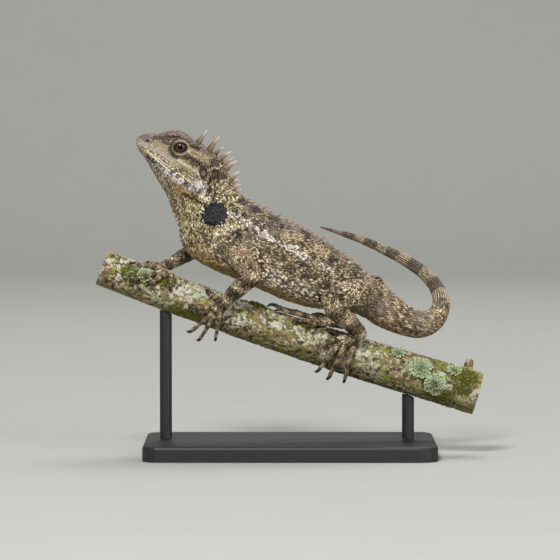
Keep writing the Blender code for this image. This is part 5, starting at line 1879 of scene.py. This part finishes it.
class PRICKLENAPE_OT_branch(bpy.types.Operator):
    """Make the cut branch with its bark and crusts of lichen"""

    bl_idname = "pricklenape.branch"
    bl_label = "Branch"

    def execute(self, context):
        turn = np.arange(BARK_SIDES) / BARK_SIDES * math.tau
        rings = []
        ends = [(-BRANCH_HALF, share) for share in END_RINGS]
        body = [(x, 1.0) for x in np.linspace(-BRANCH_HALF, BRANCH_HALF, BARK_ROWS)]
        for x, share in [*ends, *body, *((-x, share) for x, share in reversed(ends))]:
            middle, _, up, radius = branch_axis(x)
            middle, cross = np.array(middle), around(up, (0.0, -1.0, 0.0), turn)
            height = bark_heights(middle + cross * radius)[0]
            rings.append(middle + cross * (radius + height[:, None]) * share)
        bm = bmesh.new()
        add_tube(bm, np.array(rings))
        root, out = bark_place(STUB_AT, STUB_TURN, STUB_SUNK)
        stub = Tube([(root + out * far, radius) for far, radius in STUB], 32, (1.0, 0.0, 0.0))
        add_tube(bm, stub.whole(30, -0.05))
        mesh = in_metres(bm, "branch")
        places = vertex_places(mesh)
        colours = bark_colours(places, *bark_heights(places)[1:])
        middles = np.array([branch_axis(x)[0] for x in places[:, 0]])
        away = norm(places - middles, axis=1)
        cut = (np.abs(places[:, 0]) > BRANCH_HALF - 2.2) & (away < BRANCH_RADIUS - 1.0)
        wood = CUT_WOOD * (1 + 0.12 * np.sin(away * 6.0))[:, None]
        paint(mesh, np.where(cut[:, None], wood, colours))
        mesh.shade_smooth()
        mesh.set_sharp_from_angle(angle=BARK_CREASE)
        material = marked_material("bark", 0.85, 0.22, ((0.3, 0.1), (0.9, 0.12)), 0.25)
        new_piece("branch", mesh, material, ("perch_branch",))
        return {"FINISHED"}


# Rosettes of leafy lichen on the bark: X, turn from the top towards the near side, and radius.
ROSETTES = ((41.9, 62, 3.3), (47.8, 96, 3.1), (34, 35, 1.8), (-49, 60, 2), (52.5, 40, 1.9))
# Patches of moss: X, turn, half length along X, half width round the branch in degrees.
MOSS_PATCHES = (
    (-43, 50, 4.5, 26), (-52, 75, 4, 24), (-12.6, 14, 2.8, 18), (3, 38, 2.6, 12),
    (56.5, 60, 4.2, 44), (50, 120, 5, 20), (-33, 130, 6, 16), (30, -60, 6, 40),
)


# Lobes in a rosette for each square millimetre of its radius.
LOBES = 26


def rosette_lobes(surface, rng):
    chosen = settings("bark")
    lobes = []
    for x, turn, radius in ROSETTES:
        middle, out = bark_place(x, math.radians(turn), 0.0)
        one = unit(np.cross(out, (0.0, 0.3, 1.0)))
        two = np.cross(out, one)
        count = int(LOBES * radius * radius)
        share = np.sqrt(rng.random(count))
        spread = around(one, two, rng.random(count) * math.tau)
        place, outs, _ = surface.nearest(np.array(middle) + spread * (share * radius)[:, None])
        size = (0.55 + 0.55 * share) * (0.8 + 0.4 * rng.random(count))
        sizes = columns(size * 1.4, size * 0.95, 0.22 * size, 0.42 * size)
        colours = mixed(chosen.leafy, chosen.crust, 0.6 * rng.random(count) - 0.1)
        colours = mixed(colours, chosen.film, 0.7 * rng.random(count) * (1 - share))
        colours *= (0.6 + 0.4 * share)[:, None]
        way = spread + 0.25 * rng.normal(size=(count, 3))
        lobes.append((place + outs * 0.05, outs, way, sizes, colours, branch_uv(place)))
    return lobes


def moss_leaves(surface, rng):
    chosen = settings("bark")
    moss = []
    area = np.array([long * wide for _, _, long, wide in MOSS_PATCHES])
    numbers = np.round(chosen.tufts * area / area.sum()).astype(int)
    for (x, turn, long, wide), count in zip(MOSS_PATCHES, numbers):
        reach, spin = np.sqrt(rng.random(count)), rng.random(count) * math.tau
        xs = x + long * reach * np.cos(spin)
        turns = np.radians(turn + wide * reach * np.sin(spin))
        keep = np.abs(xs) < BRANCH_HALF - 0.5
        roots = np.array([bark_place(a, b, 0.0)[0] for a, b in zip(xs[keep], turns[keep])])
        place, outs, _ = surface.nearest(roots)
        count = len(place)
        stalk = 0.5 * (1 - reach[keep] ** 2) * rng.random(count)
        way = unit(outs + rng.normal(size=(count, 3)) * 0.75)
        flat = np.cross(way, rng.normal(size=(count, 3)))
        size = 0.45 + 0.35 * rng.random(count)
        sizes = columns(size * 1.5, size * 0.42, size * 0.12, 0.0)
        colours = mixed(chosen.moss, chosen.film, rng.random(count) * 0.8)
        place = place + outs * (0.12 + stalk)[:, None]
        moss.append((place, unit(flat), way, sizes, colours, branch_uv(place)))
    return moss


class PRICKLENAPE_OT_lichen(bpy.types.Operator):
    """Lay the rosettes of lichen and the tufts of moss on the bark"""

    bl_idname = "pricklenape.lichen"
    bl_label = "Lichen and moss"

    def execute(self, context):
        rng = draws(5)
        surface = Surface(bpy.data.objects["branch"].data)
        material = marked_material("lichen and moss", 0.9, 0.15, ((0.25, 0.04),), 0.15)
        for name, plates in (("lichen", rosette_lobes), ("moss", moss_leaves)):
            finish_plates(plates(surface, rng), name, LOBE, RIM_SHADE, material)
        return {"FINISHED"}


def branch_uv(place):
    """A place on the unrolled bark."""
    middles = np.array([branch_axis(x)[0].z for x in place[:, 0]])
    turn = np.arctan2(-place[:, 1], place[:, 2] - middles)
    return columns(0.5 + place[:, 0] / 130.0, 0.5 + 0.48 * turn / math.pi)


STAND_TONES = tone(30, 30, 31), tone(47, 47, 48)


class PRICKLENAPE_OT_stand(bpy.types.Operator):
    """Give the base and rods of the stand a matt black finish"""

    bl_idname = "pricklenape.stand"
    bl_label = "Stand"

    def execute(self, context):
        material, shader = principled("stand black", 0.5, 0.35)
        grain = noise_node(material, 0.4, 5.0)
        link(material, two_tones(material, grain, *STAND_TONES), shader.inputs["Base Color"])
        bump = bump_node(material, grain, 0.3, 0.04)
        link(material, bump.outputs["Normal"], shader.inputs["Normal"])
        for name in ("stand_base", "stand_rod_front", "stand_rod_rear"):
            give(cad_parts[name], material)
        return {"FINISHED"}


# Softboxes: place and aim in metres, width, and power in watts.
LIGHTS = (
    ("key", (-0.295, -1.11, 1.015), (-0.01, 0, 0.07), 0.33, 20.6),
    ("fill", (1.045, -0.93, 0.48), (0.01, 0, 0.06), 0.75, 9),
    ("top", (0.19, 0.57, 1.362), (0, 0, 0.07), 0.76, 10),
    ("backdrop", (0, 1, 1.5), (0, 1.8, 0.1), 1, 8),
)


# The sweep in metres: half its width, its front edge, where its bend starts and the radius of that,
# and the lengths of the whole and of the bend.
SWEEP_HALF, SWEEP_FRONT, SWEEP_BACK, SWEEP_BEND = 2.5, 1.8, 1.5, 0.38
SWEEP_LONG, BEND_LONG = 4.6, 0.6
SWEEP_SHADE = 0.94
WORLD_COLOUR, WORLD_STRENGTH = (1.0, 0.97, 0.9, 1.0), 0.13
SENSOR = 36.0
CLIP_START, CLIP_END = 0.05, 20.0


def sweep_mesh():
    bm = bmesh.new()
    bmesh.ops.create_grid(bm, x_segments=4, y_segments=40, size=1.0)
    for vert in bm.verts:
        gone = (vert.co.y + 1.0) * SWEEP_LONG / 2 - SWEEP_FRONT
        bend = min(max((gone - SWEEP_BACK) / BEND_LONG, 0.0), 1.0) * math.pi / 2
        wall = max(gone - SWEEP_BACK - BEND_LONG, 0.0)
        vert.co = (
            vert.co.x * SWEEP_HALF, min(gone, SWEEP_BACK) + SWEEP_BEND * math.sin(bend),
            SWEEP_BEND * (1 - math.cos(bend)) + wall,
        )
    mesh = bpy.data.meshes.new("sweep")
    bm.to_mesh(mesh)
    bm.free()
    mesh.shade_smooth()
    return mesh


def point(thing, way):
    """Turns a light or a camera so that it looks along the way."""
    thing.rotation_mode = "QUATERNION"
    thing.rotation_quaternion = way.to_track_quat("-Z", "Y")


class PRICKLENAPE_OT_stage(bpy.types.Operator):
    """Make the floor, backdrop, lights and camera"""

    bl_idname = "pricklenape.stage"
    bl_label = "Studio"

    def execute(self, context):
        chosen = settings("stage")
        scene = bpy.context.scene
        sweep = new_object("sweep", sweep_mesh())
        material, shader = principled("sweep", 0.9, 0.1)
        shaded = [c * SWEEP_SHADE for c in chosen.floor]
        colour = two_tones(material, noise_node(material, 30.0, 2.0), shaded, chosen.floor)
        link(material, colour, shader.inputs["Base Color"])
        give(sweep, material)
        for name, place, aim, wide, power in LIGHTS:
            light = bpy.data.lights.new(name, "AREA")
            light.size, light.energy = wide, power
            made = new_object(name, light)
            made.location = place
            point(made, Vector(aim) - Vector(place))
        world = bpy.data.worlds.new("studio")
        world.use_nodes = True
        background = world.node_tree.nodes["Background"]
        background.inputs["Color"].default_value = WORLD_COLOUR
        background.inputs["Strength"].default_value = WORLD_STRENGTH
        scene.world = world
        scene.view_settings.view_transform = "Standard"
        lens = bpy.data.cameras.new("camera")
        lens.sensor_width = SENSOR
        lens.lens = SENSOR * chosen.distance / (FRAME_WIDE * MM)
        lens.clip_start, lens.clip_end = CLIP_START, CLIP_END
        camera = new_object("camera", lens)
        back = Vector((0.0, -math.cos(chosen.tilt), math.sin(chosen.tilt)))
        camera.location = FRAME_MIDDLE * MM + back * chosen.distance
        point(camera, -back)
        scene.camera = camera
        return {"FINISHED"}


class PRICKLENAPE_PT_panel(bpy.types.Panel):
    """Lists the steps that build the model"""

    bl_idname = "PRICKLENAPE_PT_panel"
    bl_label = "Brown Pricklenape"
    bl_space_type = "VIEW_3D"
    bl_region_type = "UI"
    bl_category = "Pricklenape"

    def draw(self, context):
        for step in STEPS:
            self.layout.operator(step.bl_idname, text=step.bl_label)


STEPS = (
    PRICKLENAPE_OT_skin, PRICKLENAPE_OT_body_scales, PRICKLENAPE_OT_tail_scales,
    PRICKLENAPE_OT_limb_scales, PRICKLENAPE_OT_face_plates, PRICKLENAPE_OT_filler_scales,
    PRICKLENAPE_OT_crest, PRICKLENAPE_OT_markings, PRICKLENAPE_OT_eyes, PRICKLENAPE_OT_branch,
    PRICKLENAPE_OT_lichen, PRICKLENAPE_OT_stand, PRICKLENAPE_OT_stage,
)
GROUPS = {
    "skin": SkinSettings, "scales": ScaleSettings, "marking": MarkingSettings, "eyes": EyeSettings,
    "bark": BarkSettings, "stage": StageSettings,
}


def register():
    for name, group in GROUPS.items():
        bpy.utils.register_class(group)
        setattr(bpy.types.Scene, "pricklenape_" + name, PointerProperty(type=group))
    for item in (*STEPS, PRICKLENAPE_PT_panel):
        bpy.utils.register_class(item)


def unregister():
    for item in reversed((*STEPS, PRICKLENAPE_PT_panel)):
        bpy.utils.unregister_class(item)
    for name, group in GROUPS.items():
        delattr(bpy.types.Scene, "pricklenape_" + name)
        bpy.utils.unregister_class(group)


def main():
    register()
    for step in STEPS:
        getattr(bpy.ops.pricklenape, step.bl_idname.split(".")[1])()


if __name__ == "__main__":
    main()
